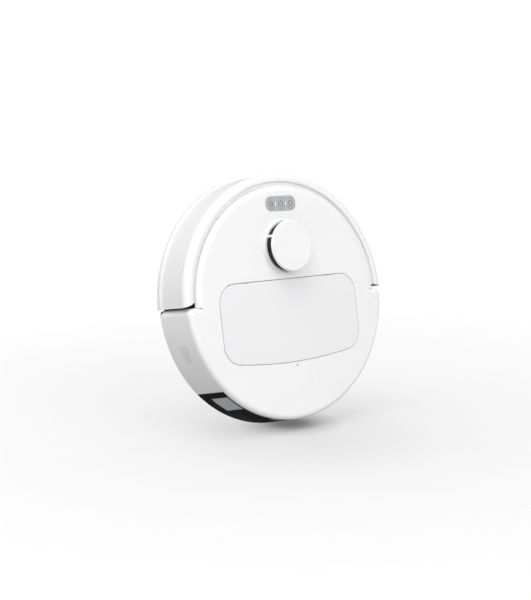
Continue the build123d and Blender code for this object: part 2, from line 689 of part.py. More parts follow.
def lid_swing_room():
    """Room in the opening's front corners, swept by the lid as it turns up."""
    start = LID_HALF_WIDTH - LID_CORNER - 1
    grow = SWING_CLEAR
    corner = slab(lid_outline(grow), COVER_LOW - 1, COVER_TOP)
    behind = block(start, BIG, LID_PIVOT_Y, LID_PIVOT_Y + 2 * LID_BARREL, COVER_LOW - grow, BIG)
    ahead = rod_x(LID_BARREL + grow, start, start + LID_CORNER, LID_PIVOT_Y, LID_PIVOT_Z)
    corner &= behind + ahead
    hinge = Axis((0, LID_PIVOT_Y, LID_PIVOT_Z), (1, 0, 0))
    room = []
    for angle in range(10, LID_TRAVEL + 1, 10):
        room += both_sides(corner.rotate(hinge, angle))
    return room


def make_lid_pins():
    """Steel hinge pins through the bay's two ears."""
    half = LID_EAR_WIDTH / 2 + CLEAR + 2.0
    places = (LID_EAR_X, -LID_EAR_X)
    return [rod_x(LID_PIN_RADIUS, x - half, x + half, LID_PIVOT_Y, LID_PIVOT_Z) for x in places]


def make_bin_bay():
    """Deck under the lid and the tub that the dust bin drops into."""
    deck = slab(lid_outline(5), DECK_LOW, DECK_HIGH)
    rim = slab(lid_outline(5), DECK_LOW, COVER_LOW) - slab(lid_outline(LID_SEAM + 0.2), 0, BIG)
    tub = block(-BAY_HALF_WIDTH, BAY_HALF_WIDTH, BAY_FRONT, BAY_REAR, BAY_LOW, DECK_LOW + 1)
    tub = fillet(tub.edges().filter_by(Axis.Z), 6)
    half = BAY_HALF_WIDTH - BAY_WALL
    room = block(-half, half, BAY_FRONT + BAY_WALL, BAY_REAR - BAY_WALL, BAY_LOW + BAY_WALL, COVER_TOP)
    room = fillet(room.edges().filter_by(Axis.Z), 6 - BAY_WALL)
    bay = deck + rim + tub - room
    bay -= block(-MOUTH_HALF_WIDTH, MOUTH_HALF_WIDTH, BAY_FRONT - 1, BAY_FRONT + 3, MOUTH_LOW, MOUTH_HIGH)
    bay -= rod_y(FAN_INLET, BAY_REAR - 3, BAY_REAR + 1, FAN_X, FAN_Z)
    bay -= lid_swing_room()
    half_ear = LID_EAR_WIDTH / 2
    low_y = LID_PIVOT_Y - LID_EAR_RADIUS
    high_y = LID_PIVOT_Y + LID_EAR_RADIUS
    for x in (LID_EAR_X, -LID_EAR_X):
        low_x = x - half_ear
        high_x = x + half_ear
        bay += rod_x(LID_EAR_RADIUS, low_x, high_x, LID_PIVOT_Y, LID_PIVOT_Z)
        bay += block(low_x, high_x, low_y, high_y, DECK_LOW, LID_PIVOT_Z)
        bay -= rod_x(LID_PIN_RADIUS + SEATED, low_x - 1, high_x + 1, LID_PIVOT_Y, LID_PIVOT_Z)
    return bay


def make_dust_bin():
    """Lift-out dust bin, open at the top, with its mouth at the front."""
    tub = block(-BIN_HALF, BIN_HALF, BIN_FRONT, BIN_REAR, BIN_LOW, BIN_TOP)
    tub = fillet(tub.edges().filter_by(Axis.Z), 5)
    half = BIN_HALF - BIN_WALL
    room = block(-half, half, BIN_FRONT + BIN_WALL, BIN_REAR - BIN_WALL, BIN_LOW + BIN_WALL, BIN_TOP + 1)
    room = fillet(room.edges().filter_by(Axis.Z), 3.2)
    tub -= room
    tub -= block(-MOUTH_HALF_WIDTH, MOUTH_HALF_WIDTH, BIN_FRONT - 1, BIN_FRONT + 3, MOUTH_LOW, MOUTH_HIGH)
    tub -= rod_y(FAN_INLET, BIN_REAR - 3, BIN_REAR + 1, FAN_X, FAN_Z)
    return tub


def make_dust_bin_cover():
    """Cover of the dust bin, with a grip to lift it by."""
    cover = block(-BIN_HALF, BIN_HALF, BIN_FRONT, BIN_REAR, BIN_TOP, BIN_TOP + 2)
    cover = fillet(cover.edges().filter_by(Axis.Z), 5)
    grip = slab(Pos(0, 30) * RectangleRounded(56, 26, 8), BIN_TOP - 8, BIN_TOP + 1)
    dip = slab(Pos(0, 30) * RectangleRounded(52, 22, 6), BIN_TOP - 6.4, BIN_TOP + 3)
    bar = block(-26.5, 26.5, 27, 33, BIN_TOP - 1.2, BIN_TOP + 2)
    return cover + grip - dip + bar


def make_filter():
    """Pleated filter against the bin's rear wall."""
    back = BIN_REAR - BIN_WALL
    frame = block(FAN_X - 20, FAN_X + 20, back - 9, back, FAN_Z - 18, FAN_Z + 18)
    room = block(FAN_X - 17, FAN_X + 17, back - 10, back + 1, FAN_Z - 15, FAN_Z + 15)
    frame -= room
    pleats = 9
    width = 34.0 / pleats
    zigzag = []
    for number in range(pleats + 1):
        x = FAN_X - 17 + number * width
        zigzag.append((x, back - (7.5 if number % 2 else 1.5)))
    back_line = [(x, y - 1.0) for x, y in reversed(zigzag)]
    paper = slab(outline_of(zigzag + back_line), FAN_Z - 15, FAN_Z + 15)
    return frame + paper


# ------------------------------------------------------------------ fan
def duct(shrink):
    """Straight duct from the fan towards the exhaust grille."""
    angle = (GRILLE_FROM + GRILLE_TO) / 2
    half = 13.0 - shrink
    low = GRILLE_LOW + 1.5 + shrink
    high = GRILLE_HIGH - 1.5 - shrink
    whole = Rot(0, 0, -angle) * block(-half, half, 112, BODY_RADIUS, low, high)
    return whole & block(-BIG, BIG, FAN_FRONT + shrink, BIG, 0, BIG)


def make_fan_housing():
    """Round fan casing with an inlet at the bin and a duct to the grille."""
    casing = rod_y(FAN_RADIUS, FAN_FRONT, FAN_BACK, FAN_X, FAN_Z)
    casing += duct(0) & rear_body(SHELL + CLEAR, FLOOR)
    casing += rod_y(FAN_INLET + 3, BAY_REAR, FAN_FRONT + 1, FAN_X, FAN_Z)
    casing -= rod_y(FAN_RADIUS - 2, FAN_FRONT + 2, FAN_BACK - 2, FAN_X, FAN_Z)
    casing -= rod_y(FAN_INLET, BAY_REAR - 1, FAN_FRONT + 3, FAN_X, FAN_Z)
    casing -= duct(2) - rod_y(FAN_RADIUS - 1, FAN_BACK - 2, FAN_BACK + 1, FAN_X, FAN_Z)
    casing -= rod_y(3, FAN_BACK - 3, FAN_BACK + 1, FAN_X, FAN_Z)
    feet = block(FAN_X - 20, FAN_X + 20, FAN_FRONT + 4, FAN_FRONT + 18, FLOOR, FAN_Z - 22)
    feet -= rod_y(FAN_RADIUS - 1, FAN_FRONT, FAN_BACK, FAN_X, FAN_Z)
    return casing + feet & block(-BIG, BIG, -BIG, BIG, FLOOR, DECK_LOW)


def make_fan_impeller():
    """Backplate with curved blades, driven by the fan motor's shaft."""
    back = FAN_BACK - 4.0
    wheel = rod_y(IMPELLER_RADIUS, back - 1.6, back, FAN_X, FAN_Z)
    wheel += rod_y(6, back - 11, back, FAN_X, FAN_Z)
    blades = 9
    spine = ThreePointArc((5.5, 0), (14, 4.5), (IMPELLER_RADIUS - 0.6, 1.0))
    blade = extrude(trace(spine, 1.2), 12)
    hub = Pos(FAN_X, back - 0.5, FAN_Z) * Rot(90, 0, 0)
    wheel += [hub * Rot(0, 0, 360 * number / blades) * blade for number in range(blades)]
    shaft = rod_y(2.5, back - 1, FAN_BACK + 3.0, FAN_X, FAN_Z)
    return wheel + shaft


def make_fan_motor():
    """Fan motor with a rubber-mounted can; the impeller's shaft runs in its nose."""
    can = rod_y(13, FAN_BACK, FAN_BACK + 20, FAN_X, FAN_Z)
    can = fillet(can.edges().filter_by(GeomType.CIRCLE).sort_by(Axis.Y)[-1], 2)
    can += rod_y(5, FAN_BACK + 19, FAN_BACK + 22, FAN_X, FAN_Z)
    return can - rod_y(2.5 + RUNNING, FAN_BACK - 1, FAN_BACK + 3.2, FAN_X, FAN_Z)


# ------------------------------------------------------------------ laser turret
def make_turret_base():
    """White ring round the turret's foot."""
    out = TURRET_RING_RADIUS
    neck = TURRET_HOLE - CLEAR
    inner = TURRET_WINDOW_RADIUS - 1.6
    shoulder = (out - 1.6, TURRET_WINDOW_LOW)
    points = [(neck, COVER_TOP), (out, COVER_TOP), (out, COVER_TOP + 0.9), shoulder]
    points += [(inner, TURRET_WINDOW_LOW), (inner, COVER_TOP - 5), (neck, COVER_TOP - 5)]
    return Pos(0, TURRET_Y, 0) * turned(eased(outline_of(points), [(shoulder, 0.8)]))


def make_turret_window():
    """Dark clear ring that the laser looks through."""
    out = TURRET_WINDOW_RADIUS
    return tube(out, out - 1.4, TURRET_WINDOW_LOW, TURRET_WINDOW_HIGH, 0, TURRET_Y)


def make_turret_cap():
    """Cap on three posts."""
    low = TURRET_WINDOW_HIGH
    shoulder = (TURRET_CAP_TOP_RADIUS, TURRET_TOP)
    points = [(0, low), (TURRET_CAP_RADIUS, low), (TURRET_CAP_RADIUS, low + 0.8), shoulder]
    points += [(0, TURRET_TOP)]
    cap = turned(eased(outline_of(points), [(shoulder, 1.2)]))
    cap -= disc(TURRET_WINDOW_RADIUS - 3, low - 1, low + 1)
    post_ring = tube(TURRET_CAP_RADIUS, TURRET_WINDOW_RADIUS + SNUG, TURRET_WINDOW_LOW, low)
    for angle in TURRET_POSTS:
        cap += post_ring & Rot(0, 0, angle) * block(20, 40, -1.6, 1.6, 0, BIG)
    return Pos(0, TURRET_Y, 0) * cap


def make_lidar_plate():
    """Plate under the turret that carries its bearing and motor."""
    plate = disc(40, LIDAR_PLATE_LOW, ROTOR_LOW, 0, TURRET_Y)
    plate += disc(14, LIDAR_PLATE_LOW, ROTOR_LOW, LIDAR_MOTOR_X, LIDAR_MOTOR_Y)
    for angle in (30.0, 150.0, 270.0):
        x = LIDAR_POST_CIRCLE * cos(radians(angle))
        y = TURRET_Y + LIDAR_POST_CIRCLE * sin(radians(angle))
        plate += disc(3, LIDAR_PLATE_LOW, COVER_LOW, x, y)
    plate += disc(20, LIDAR_PLATE_LOW, ROTOR_LOW + 4, 0, TURRET_Y)
    plate -= disc(BEARING_BORE - 3, 0, ROTOR_LOW + 1, 0, TURRET_Y)
    plate -= disc(BEARING_BORE, ROTOR_LOW, BIG, 0, TURRET_Y)
    plate -= disc(5, 0, BIG, LIDAR_MOTOR_X, LIDAR_MOTOR_Y)
    return plate


def make_lidar_rotor():
    """Spinning laser head on its pulley."""
    low = ROTOR_LOW
    points = [(0, low + 0.3), (BEARING_BORE - RUNNING, low + 0.3), (BEARING_BORE - RUNNING, low + 4.3)]
    points += [(ROTOR_PULLEY + 1, low + 4.3), (ROTOR_PULLEY + 1, low + 5.0), (ROTOR_PULLEY, low + 5.0)]
    points += [(ROTOR_PULLEY, low + 8.0), (ROTOR_PULLEY + 1, low + 8.0), (ROTOR_PULLEY + 1, low + 9.0)]
    points += [(ROTOR_RADIUS, low + 12), (ROTOR_RADIUS, TURRET_WINDOW_LOW), (0, TURRET_WINDOW_LOW)]
    head = turned(outline_of(points))
    tower = block(-21, 21, -13, 13, TURRET_WINDOW_LOW - 1, TURRET_WINDOW_HIGH - 0.6)
    tower &= disc(ROTOR_RADIUS - 2, 0, BIG)
    for x in (-9.0, 9.0):
        tower += rod_y(4.2, -15.5, -12, x, LENS_Z) - rod_y(3.2, -16, -14.6, x, LENS_Z)
    return Pos(0, TURRET_Y, 0) * (head + tower)


def make_lidar_pulley():
    """Motor pulley with its flanges and shaft."""
    low = ROTOR_LOW
    x, y = LIDAR_MOTOR_X, LIDAR_MOTOR_Y
    pulley = disc(MOTOR_PULLEY, low + 4.4, low + 8.6, x, y)
    pulley += disc(MOTOR_PULLEY + 1, low + 4.0, low + 4.9, x, y)
    pulley += disc(MOTOR_PULLEY + 1, low + 8.1, low + 9.0, x, y)
    return pulley + disc(1.5, LIDAR_PLATE_LOW - 3, low + 5, x, y)


def make_lidar_motor():
    x, y = LIDAR_MOTOR_X, LIDAR_MOTOR_Y
    can = disc(10.5, LIDAR_PLATE_LOW - 13, LIDAR_PLATE_LOW, x, y)
    can += disc(4.8, LIDAR_PLATE_LOW - 1, ROTOR_LOW, x, y)
    return can - disc(1.5 + RUNNING, LIDAR_PLATE_LOW - 4, COVER_TOP, x, y)


def belt_outline(big, small):
    """Outline that wraps the rotor's pulley and the motor's."""
    span = sqrt(LIDAR_MOTOR_X**2 + (LIDAR_MOTOR_Y - TURRET_Y) ** 2)
    lean = asin((big - small) / span)
    facing = atan2(LIDAR_MOTOR_Y - TURRET_Y, LIDAR_MOTOR_X)
    flank = []
    for side in (1, -1):
        turn = facing + side * (pi / 2 - lean)
        pair = [(big * cos(turn), TURRET_Y + big * sin(turn))]
        pair.append((LIDAR_MOTOR_X + small * cos(turn), LIDAR_MOTOR_Y + small * sin(turn)))
        flank.extend(pair if side == 1 else pair[::-1])
    wheels = Pos(0, TURRET_Y) * Circle(big) + Pos(LIDAR_MOTOR_X, LIDAR_MOTOR_Y) * Circle(small)
    return wheels + outline_of(flank)


def make_lidar_belt():
    """Round-the-pulleys belt, a hair clear of both grooves."""
    low = ROTOR_LOW + 5.4
    high = ROTOR_LOW + 7.6
    outer = slab(belt_outline(ROTOR_PULLEY + 1.2, MOTOR_PULLEY + 1.2), low, high)
    return outer - slab(belt_outline(ROTOR_PULLEY + 0.15, MOTOR_PULLEY + 0.15), low - 1, high + 1)


# ------------------------------------------------------------------ buttons
def make_button_frame():
    """Grey oval panel that guides the three buttons."""
    frame = slab(pill_outline(), COVER_LOW, FRAME_TOP)
    edges = frame.edges().filter_by_position(Axis.Z, FRAME_TOP - 0.01, FRAME_TOP + 0.01)
    frame = fillet(edges, 0.5)
    frame += slab(pill_outline(2.5), COVER_LOW - 1.6, COVER_LOW)
    for x in BUTTON_PLACES.values():
        frame -= disc(BUTTON_RADIUS + 0.25, 0, BIG, x, BUTTON_Y)
        frame -= disc(BUTTON_RADIUS + 0.9, 0, COVER_LOW, x, BUTTON_Y)
    return frame


def make_button(x):
    """Round key with a retaining flange and a stem over its switch."""
    top = FRAME_TOP + 0.15
    key = disc(BUTTON_RADIUS, COVER_LOW - 1.8, top, x, BUTTON_Y)
    key = fillet(key.edges().sort_by(Axis.Z)[-1], 0.5)
    key += disc(BUTTON_RADIUS + 0.6, COVER_LOW - 1.8, COVER_LOW - 0.6, x, BUTTON_Y)
    return key + disc(1.5, SWITCH_TOP, COVER_LOW - 1.7, x, BUTTON_Y)


def make_switch_board():
    """Board under the buttons, with a switch below each."""
    high = BOARD_LOW + BOARD_THICK
    switch = high + SWITCH_HEIGHT
    board = block(-27, 27, BUTTON_Y - 8, BUTTON_Y + 8, BOARD_LOW, high)
    for x in BUTTON_PLACES.values():
        board += block(x - 3, x + 3, BUTTON_Y - 3, BUTTON_Y + 3, high - 0.5, switch - 0.6)
        board += disc(1.4, high, switch, x, BUTTON_Y)
    for x in (-25.0, 25.0):
        board += block(x - 1.5, x + 1.5, BUTTON_Y + 5, BUTTON_Y + 8, BOARD_LOW, COVER_LOW - 1.6)
    return board


# ------------------------------------------------------------------ drive wheels
def make_tyre():
    """Left tyre with a chevron-free block tread."""
    x0 = WHEEL_INNER_X
    tyre = rod_x(WHEEL_RADIUS, x0, x0 + TYRE_WIDTH, WHEEL_Y, WHEEL_RADIUS)
    tyre = chamfer(tyre.edges().filter_by(GeomType.CIRCLE), 1.0)
    tyre -= rod_x(HUB_RADIUS, x0 - 1, x0 + TYRE_WIDTH + 1, WHEEL_Y, WHEEL_RADIUS)
    blocks = 30
    cut = block(-1, TYRE_WIDTH + 1, -1.1, 1.1, WHEEL_RADIUS - 1.6, WHEEL_RADIUS + 2)
    place = Pos(x0, WHEEL_Y, WHEEL_RADIUS)
    return tyre - [place * Rot(360 * n / blocks, 0, 0) * cut for n in range(blocks)]


def make_hub():
    """Left wheel's hub: rim, web with holes, and a bored boss."""
    x0 = WHEEL_INNER_X
    x1 = x0 + TYRE_WIDTH
    hub = rod_x(HUB_RADIUS, x0, x1, WHEEL_Y, WHEEL_RADIUS)
    room = rod_x(HUB_RADIUS - 2.4, x0 - 1, x1 - 7, WHEEL_Y, WHEEL_RADIUS)
    face = rod_x(HUB_RADIUS - 2.4, x1 - 4.5, x1 + 1, WHEEL_Y, WHEEL_RADIUS)
    boss = rod_x(7.5, x0, x1 - 1, WHEEL_Y, WHEEL_RADIUS)
    hub = hub - room - face + boss
    place = Pos(0, WHEEL_Y, WHEEL_RADIUS)
    for number in range(6):
        hub -= place * Rot(60 * number, 0, 0) * rod_x(4.2, x0, x1 + 1, 0, 16.5)
    return hub - rod_x(AXLE_RADIUS + RUNNING, x0 - 1, x1 - 2.5, WHEEL_Y, WHEEL_RADIUS)


def make_arm():
    """Left swing arm: a gearbox on a pivot, with its motor and the wheel's axle."""
    x0 = ARM_INNER_X
    x1 = x0 + ARM_WIDTH
    wheel = (WHEEL_Y, WHEEL_RADIUS)
    pivot = (ARM_PIVOT_Y, ARM_PIVOT_Z)
    arm = stadium_yz(19.0, wheel, 8.5, pivot, x0, x1)
    arm = fillet(arm.edges().filter_by(Plane.YZ), 1.2)
    arm += rod_x(10.5, WELL_INNER_X + 2.0, x0 + 1, WHEEL_Y, WHEEL_RADIUS)
    arm += rod_x(6.5, x1 - 1, WHEEL_INNER_X - CLEAR, WHEEL_Y, WHEEL_RADIUS)
    arm += rod_x(AXLE_RADIUS, x1, WHEEL_INNER_X + TYRE_WIDTH - 3.0, WHEEL_Y, WHEEL_RADIUS)
    return arm - rod_x(ARM_PIN_RADIUS + RUNNING, x0 - 1, x1 + 1, ARM_PIVOT_Y, ARM_PIVOT_Z)


def make_suspension_pins():
    """Pins that the swing arms turn on, held in the wells' inner walls."""
    end = ARM_INNER_X + ARM_WIDTH
    pin = rod_x(ARM_PIN_RADIUS, WELL_INNER_X - WELL_WALL, end, ARM_PIVOT_Y, ARM_PIVOT_Z)
    pin += rod_x(ARM_PIN_RADIUS + 2.5, end + CLEAR, end + CLEAR + 1.5, ARM_PIVOT_Y, ARM_PIVOT_Z)
    pin += rod_x(ARM_PIN_RADIUS, end - 1, end + CLEAR + 1, ARM_PIVOT_Y, ARM_PIVOT_Z)
    return both_sides(pin)


def make_suspension_springs():
    """Coil round each pivot pin that presses the wheel down."""
    room = ARM_INNER_X - WELL_INNER_X
    coil = coil_spring(ARM_PIN_RADIUS + 1.4, 0.6, 1.5, room - 1.9)
    left = Pos(WELL_INNER_X + 0.95, ARM_PIVOT_Y, ARM_PIVOT_Z) * Rot(0, 90, 0) * coil
    return both_sides(left)


# ------------------------------------------------------------------ front caster
def make_caster_fork():
    """Swivelling caster body with its stem."""
    body = disc(CASTER_BODY, 8.5, CASTER_WELL_TOP - CLEAR, 0, CASTER_Y)
    body = fillet(body.edges().sort_by(Axis.Z)[0], 2.5)
    half = CASTER_WIDTH / 2 + CLEAR
    reach = CASTER_RADIUS + 1.2
    body -= rod_x(reach, -half, half, CASTER_WHEEL_Y, CASTER_RADIUS)
    body -= block(-half, half, CASTER_WHEEL_Y - reach, CASTER_WHEEL_Y + reach, 0, CASTER_RADIUS)
    body -= rod_x(CASTER_AXLE + SEATED, -half - 3, half + 3, CASTER_WHEEL_Y, CASTER_RADIUS)
    return body + disc(CASTER_STEM, CASTER_WELL_TOP - 2, CASTER_WELL_TOP + 9, 0, CASTER_Y)


def make_caster_wheel():
    half = CASTER_WIDTH / 2
    wheel = rod_x(CASTER_RADIUS, -half, half, CASTER_WHEEL_Y, CASTER_RADIUS)
    wheel = fillet(wheel.edges().filter_by(GeomType.CIRCLE), 2.0)
    return wheel - rod_x(CASTER_AXLE + RUNNING, -half - 1, half + 1, CASTER_WHEEL_Y, CASTER_RADIUS)


def make_caster_axle():
    half = CASTER_WIDTH / 2 + CLEAR + 3.0
    return rod_x(CASTER_AXLE, -half, half, CASTER_WHEEL_Y, CASTER_RADIUS)


# ------------------------------------------------------------------ main brush and its drive
def make_brush_core():
    """Stiff core with a turned bearing end."""
    core = rod_x(BRUSH_CORE, -BRUSH_HALF - 1, BRUSH_HALF + 1, BRUSH_Y, BRUSH_Z)
    return core + rod_x(2.5, BRUSH_HALF, BRUSH_HALF + 7, BRUSH_Y, BRUSH_Z)


def make_brush_fins():
    """Rubber sleeve with fins that meet in a V at the middle."""
    sleeve = Circle(BRUSH_CORE + 2.2) - Circle(BRUSH_CORE)
    depth = BRUSH_RADIUS - BRUSH_CORE - 1
    fin = Pos(BRUSH_CORE + 1 + depth / 2, 0) * RectangleRounded(depth, FIN_THICK, FIN_THICK / 2 - 0.05)
    section = sleeve + [Rot(0, 0, 360 * n / FIN_COUNT) * fin for n in range(FIN_COUNT)]
    face = section.faces()[0]
    length = BRUSH_HALF - 1.5
    half = Solid.extrude_linear_with_rotation(face, (0, 0, 0), (0, 0, length), FIN_TWIST)
    other = mirror(half, Plane.XY)
    return Pos(0, BRUSH_Y, BRUSH_Z) * Rot(0, 90, 0) * (Part() + half + other)


def make_brush_bush():
    bush = rod_x(BUSH_RADIUS, BRUSH_HALF + 2, BRUSH_HALF + 8, BRUSH_Y, BRUSH_Z)
    return bush - rod_x(2.5 + RUNNING, BRUSH_HALF + 1, BRUSH_HALF + 7.2, BRUSH_Y, BRUSH_Z)


def make_brush_gear():
    """Gear that the brush plugs into."""
    gear = gear_x(BRUSH_TEETH, 90, BRUSH_Z)
    return gear + rod_x(4.8, GEAR_X + GEAR_WIDTH - 1, -BRUSH_HALF - 1, BRUSH_Y, BRUSH_Z)


def make_idler_gear():
    phase = 90 + 180.0 / IDLER_TEETH
    gear = gear_x(IDLER_TEETH, phase, IDLER_Z)
    return gear - rod_x(2.5 + RUNNING, GEAR_X - 1, GEAR_X + GEAR_WIDTH + 1, BRUSH_Y, IDLER_Z)


def make_motor_pinion():
    gear = gear_x(PINION_TEETH, 90, BRUSH_MOTOR_Z)
    return gear + rod_x(1.5, GEAR_X + GEAR_WIDTH - 1, GEARBOX_END + 4, BRUSH_Y, BRUSH_MOTOR_Z)


def gear_room(grow, start, end):
    """Space round the three gears, grown by a clearance or a wall."""
    tip = 0.9 * GEAR_MODULE
    big = IDLER_R + tip + grow
    middle = (BRUSH_Y, IDLER_Z)
    lower = stadium_yz(big, middle, BRUSH_GEAR_R + tip + grow, (BRUSH_Y, BRUSH_Z), start, end)
    return lower + stadium_yz(big, middle, PINION_R + tip + grow + 2, (BRUSH_Y, BRUSH_MOTOR_Z), start, end)


def make_brush_gearbox():
    """Closed box round the three gears, with the idler's post."""
    box = gear_room(GEARBOX_WALL, GEARBOX_START, GEARBOX_END)
    box -= gear_room(0.6, GEAR_X - 0.8, GEAR_X + GEAR_WIDTH + 0.8)
    box += rod_x(2.5, GEARBOX_START + 0.5, GEARBOX_END - 0.5, BRUSH_Y, IDLER_Z)
    box -= rod_x(5.2, GEAR_X + GEAR_WIDTH, GEARBOX_END + 1, BRUSH_Y, BRUSH_Z)
    box -= rod_x(2.2, GEAR_X + GEAR_WIDTH, GEARBOX_END + 1, BRUSH_Y, BRUSH_MOTOR_Z)
    return box


def make_brush_motor():
    motor = rod_x(11, GEARBOX_END, GEARBOX_END + 34, BRUSH_Y, BRUSH_MOTOR_Z)
    motor += rod_x(4, GEARBOX_END + 33, GEARBOX_END + 36, BRUSH_Y, BRUSH_MOTOR_Z)
    return motor - rod_x(1.5 + RUNNING, GEARBOX_END - 1, GEARBOX_END + 4.2, BRUSH_Y, BRUSH_MOTOR_Z)


def make_brush_guard():
    """Clip-in frame round the brush opening."""
    half_x = -GEARBOX_END - CLEAR
    inner_x = BRUSH_HALF + 1.6
    wide = RectangleRounded(2 * half_x, 46, 4)
    open_part = RectangleRounded(2 * inner_x, 36, 3)
    frame = slab(Pos(0, BRUSH_Y) * (wide - open_part), BOTTOM - 2.4, BOTTOM)
    return fillet(frame.edges().filter_by_position(Axis.Z, BOTTOM - 2.41, BOTTOM - 2.39), 0.7)


# ------------------------------------------------------------------ side brush
def make_side_brush_hub():
    """Hub with three short arms, screwed to its gearmotor's shaft."""
    hub = disc(11, 3.6, 8.6, SIDE_BRUSH_X, SIDE_BRUSH_Y)
    hub = fillet(hub.edges().filter_by(GeomType.CIRCLE), 1.2)
    for angle in SIDE_BRUSH_ARMS:
        arm = Box(16, 6.5, 3.2, align=(Align.MIN, Align.CENTER, Align.MIN))
        hub += Pos(SIDE_BRUSH_X, SIDE_BRUSH_Y, 3.9) * Rot(0, 0, angle) * Pos(8, 0, 0) * arm
    return hub + disc(3.5, 8, FLOOR + 3, SIDE_BRUSH_X, SIDE_BRUSH_Y)


def make_side_brush_bristles():
    """Fans of bristles out of the three arms."""
    bristles = []
    for angle in SIDE_BRUSH_ARMS:
        for number in range(7):
            lean = (number - 3) * 3.0
            rod = Rot(0, 93, 0) * Cylinder(0.4, SIDE_BRUSH_REACH - 24, align=UPRIGHT)
            foot = Pos(24.05, (number - 3) * 0.95, 1.6) * Rot(0, 0, lean) * rod
            bristles.append(Pos(SIDE_BRUSH_X, SIDE_BRUSH_Y, 3.9) * Rot(0, 0, angle) * foot)
    return bristles


def make_side_brush_motor():
    motor = disc(14, FLOOR, 30, SIDE_BRUSH_X, SIDE_BRUSH_Y)
    motor += disc(11, 29, 46, SIDE_BRUSH_X, SIDE_BRUSH_Y)
    return motor - disc(3.5 + RUNNING, FLOOR - 1, FLOOR + 3.3, SIDE_BRUSH_X, SIDE_BRUSH_Y)


# ------------------------------------------------------------------ small parts
def make_main_board():
    """Control board with its chips and plugs, on four pillars."""
    low = 30.0
    board = block(-92, -14, 90, 128, low, low + 1.6)
    chips = [(-70, 105, 14), (-45, 108, 9), (-28, 100, 6)]
    for x, y, size in chips:
        board += block(x - size / 2, x + size / 2, y - size / 2, y + size / 2, low + 1, low + 3.2)
    for x in (-86.0, -20.0):
        board += block(x - 4, x + 4, 119, 126, low + 1, low + 7)
        for y in (94.0, 115.0):
            board += disc(2.2, FLOOR, low + 0.5, x, y)
    return board


def make_status_light():
    return disc(STATUS_RADIUS, COVER_LOW, COVER_TOP, 0, STATUS_Y)


def make_screws():
    """Housing screws, all alike."""
    screws = []
    for x, y in SCREW_PLACES:
        head = disc(2.9, BOTTOM + 0.3, BOTTOM + 1.6, x, y)
        slot = block(x - 2, x + 2, y - 0.4, y + 0.4, BOTTOM, BOTTOM + 0.9)
        cross = block(x - 0.4, x + 0.4, y - 2, y + 2, BOTTOM, BOTTOM + 0.9)
        screws.append(head - slot - cross + disc(1.4, BOTTOM + 1.5, SCREW_TOP - 1, x, y))
    return screws


def make_cliff_lenses():
    return [lens_block(x, y, 0, BOTTOM, FLOOR + 3) for x, y in CLIFF_PLACES]


# ------------------------------------------------------------------ write every node
def main():
    os.makedirs("parts", exist_ok=True)
    single = {
        "top_cover": make_top_cover, "base_plate": make_base_plate, "battery_door": make_battery_door,
        "battery": make_battery, "rear_panel": make_rear_panel, "exhaust_grille": make_exhaust_grille,
        "speaker": make_speaker, "bumper_shell": make_bumper_shell, "bumper_lip": make_bumper_lip,
        "lid": make_lid, "bin_bay": make_bin_bay, "dust_bin": make_dust_bin,
        "dust_bin_cover": make_dust_bin_cover, "dust_filter": make_filter, "fan_housing": make_fan_housing,
        "fan_impeller": make_fan_impeller, "fan_motor": make_fan_motor, "turret_base": make_turret_base,
        "turret_window": make_turret_window, "turret_cap": make_turret_cap, "lidar_plate": make_lidar_plate,
        "lidar_rotor": make_lidar_rotor,
        "lidar_pulley": make_lidar_pulley, "lidar_motor": make_lidar_motor, "lidar_belt": make_lidar_belt,
        "button_frame": make_button_frame, "switch_board": make_switch_board,
        "caster_fork": make_caster_fork, "caster_wheel": make_caster_wheel, "caster_axle": make_caster_axle,
        "brush_core": make_brush_core, "brush_fins": make_brush_fins, "brush_bush": make_brush_bush,
        "brush_gear": make_brush_gear, "idler_gear": make_idler_gear, "motor_pinion": make_motor_pinion,
        "brush_gearbox": make_brush_gearbox, "brush_motor": make_brush_motor,
        "brush_guard": make_brush_guard,
        "side_brush_hub": make_side_brush_hub, "side_brush_motor": make_side_brush_motor,
        "main_board": make_main_board, "status_light": make_status_light,
    }
    groups = {
        "charging_contacts": make_charging_contacts, "bumper_switches": make_bumper_switches,
        "lid_pins": make_lid_pins,
        "suspension_pins": make_suspension_pins, "suspension_springs": make_suspension_springs,
        "side_brush_bristles": make_side_brush_bristles, "screws": make_screws,
        "cliff_lenses": make_cliff_lenses,
    }
    for node, make in single.items():
        save(node, make())
    for node, make in groups.items():
        save(node, *make())
    for node, x in BUTTON_PLACES.items():
        save(node, make_button(x))
    for node, make in (("tyre", make_tyre), ("wheel_hub", make_hub), ("wheel_arm", make_arm)):
        left, right = both_sides(make())
        save(f"{node}_left", left)
        save(f"{node}_right", right)


main()
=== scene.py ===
# %% [markdown]
# # A round robot vacuum, finished in Blender
# The construction comes in finished: every moulding, wheel, gear and screw is already there at its real
# size, grouped into the bodies that move. What is left is how it looks. This lesson gives each piece its
# finish, adds the small printed and woven things that are too fine for the construction, and sets the
# camera, floor and light.

# %% Load the finished construction
import json
from math import atan2, cos, pi, radians, sin

import bmesh
import bpy
from mathutils import Matrix, Vector


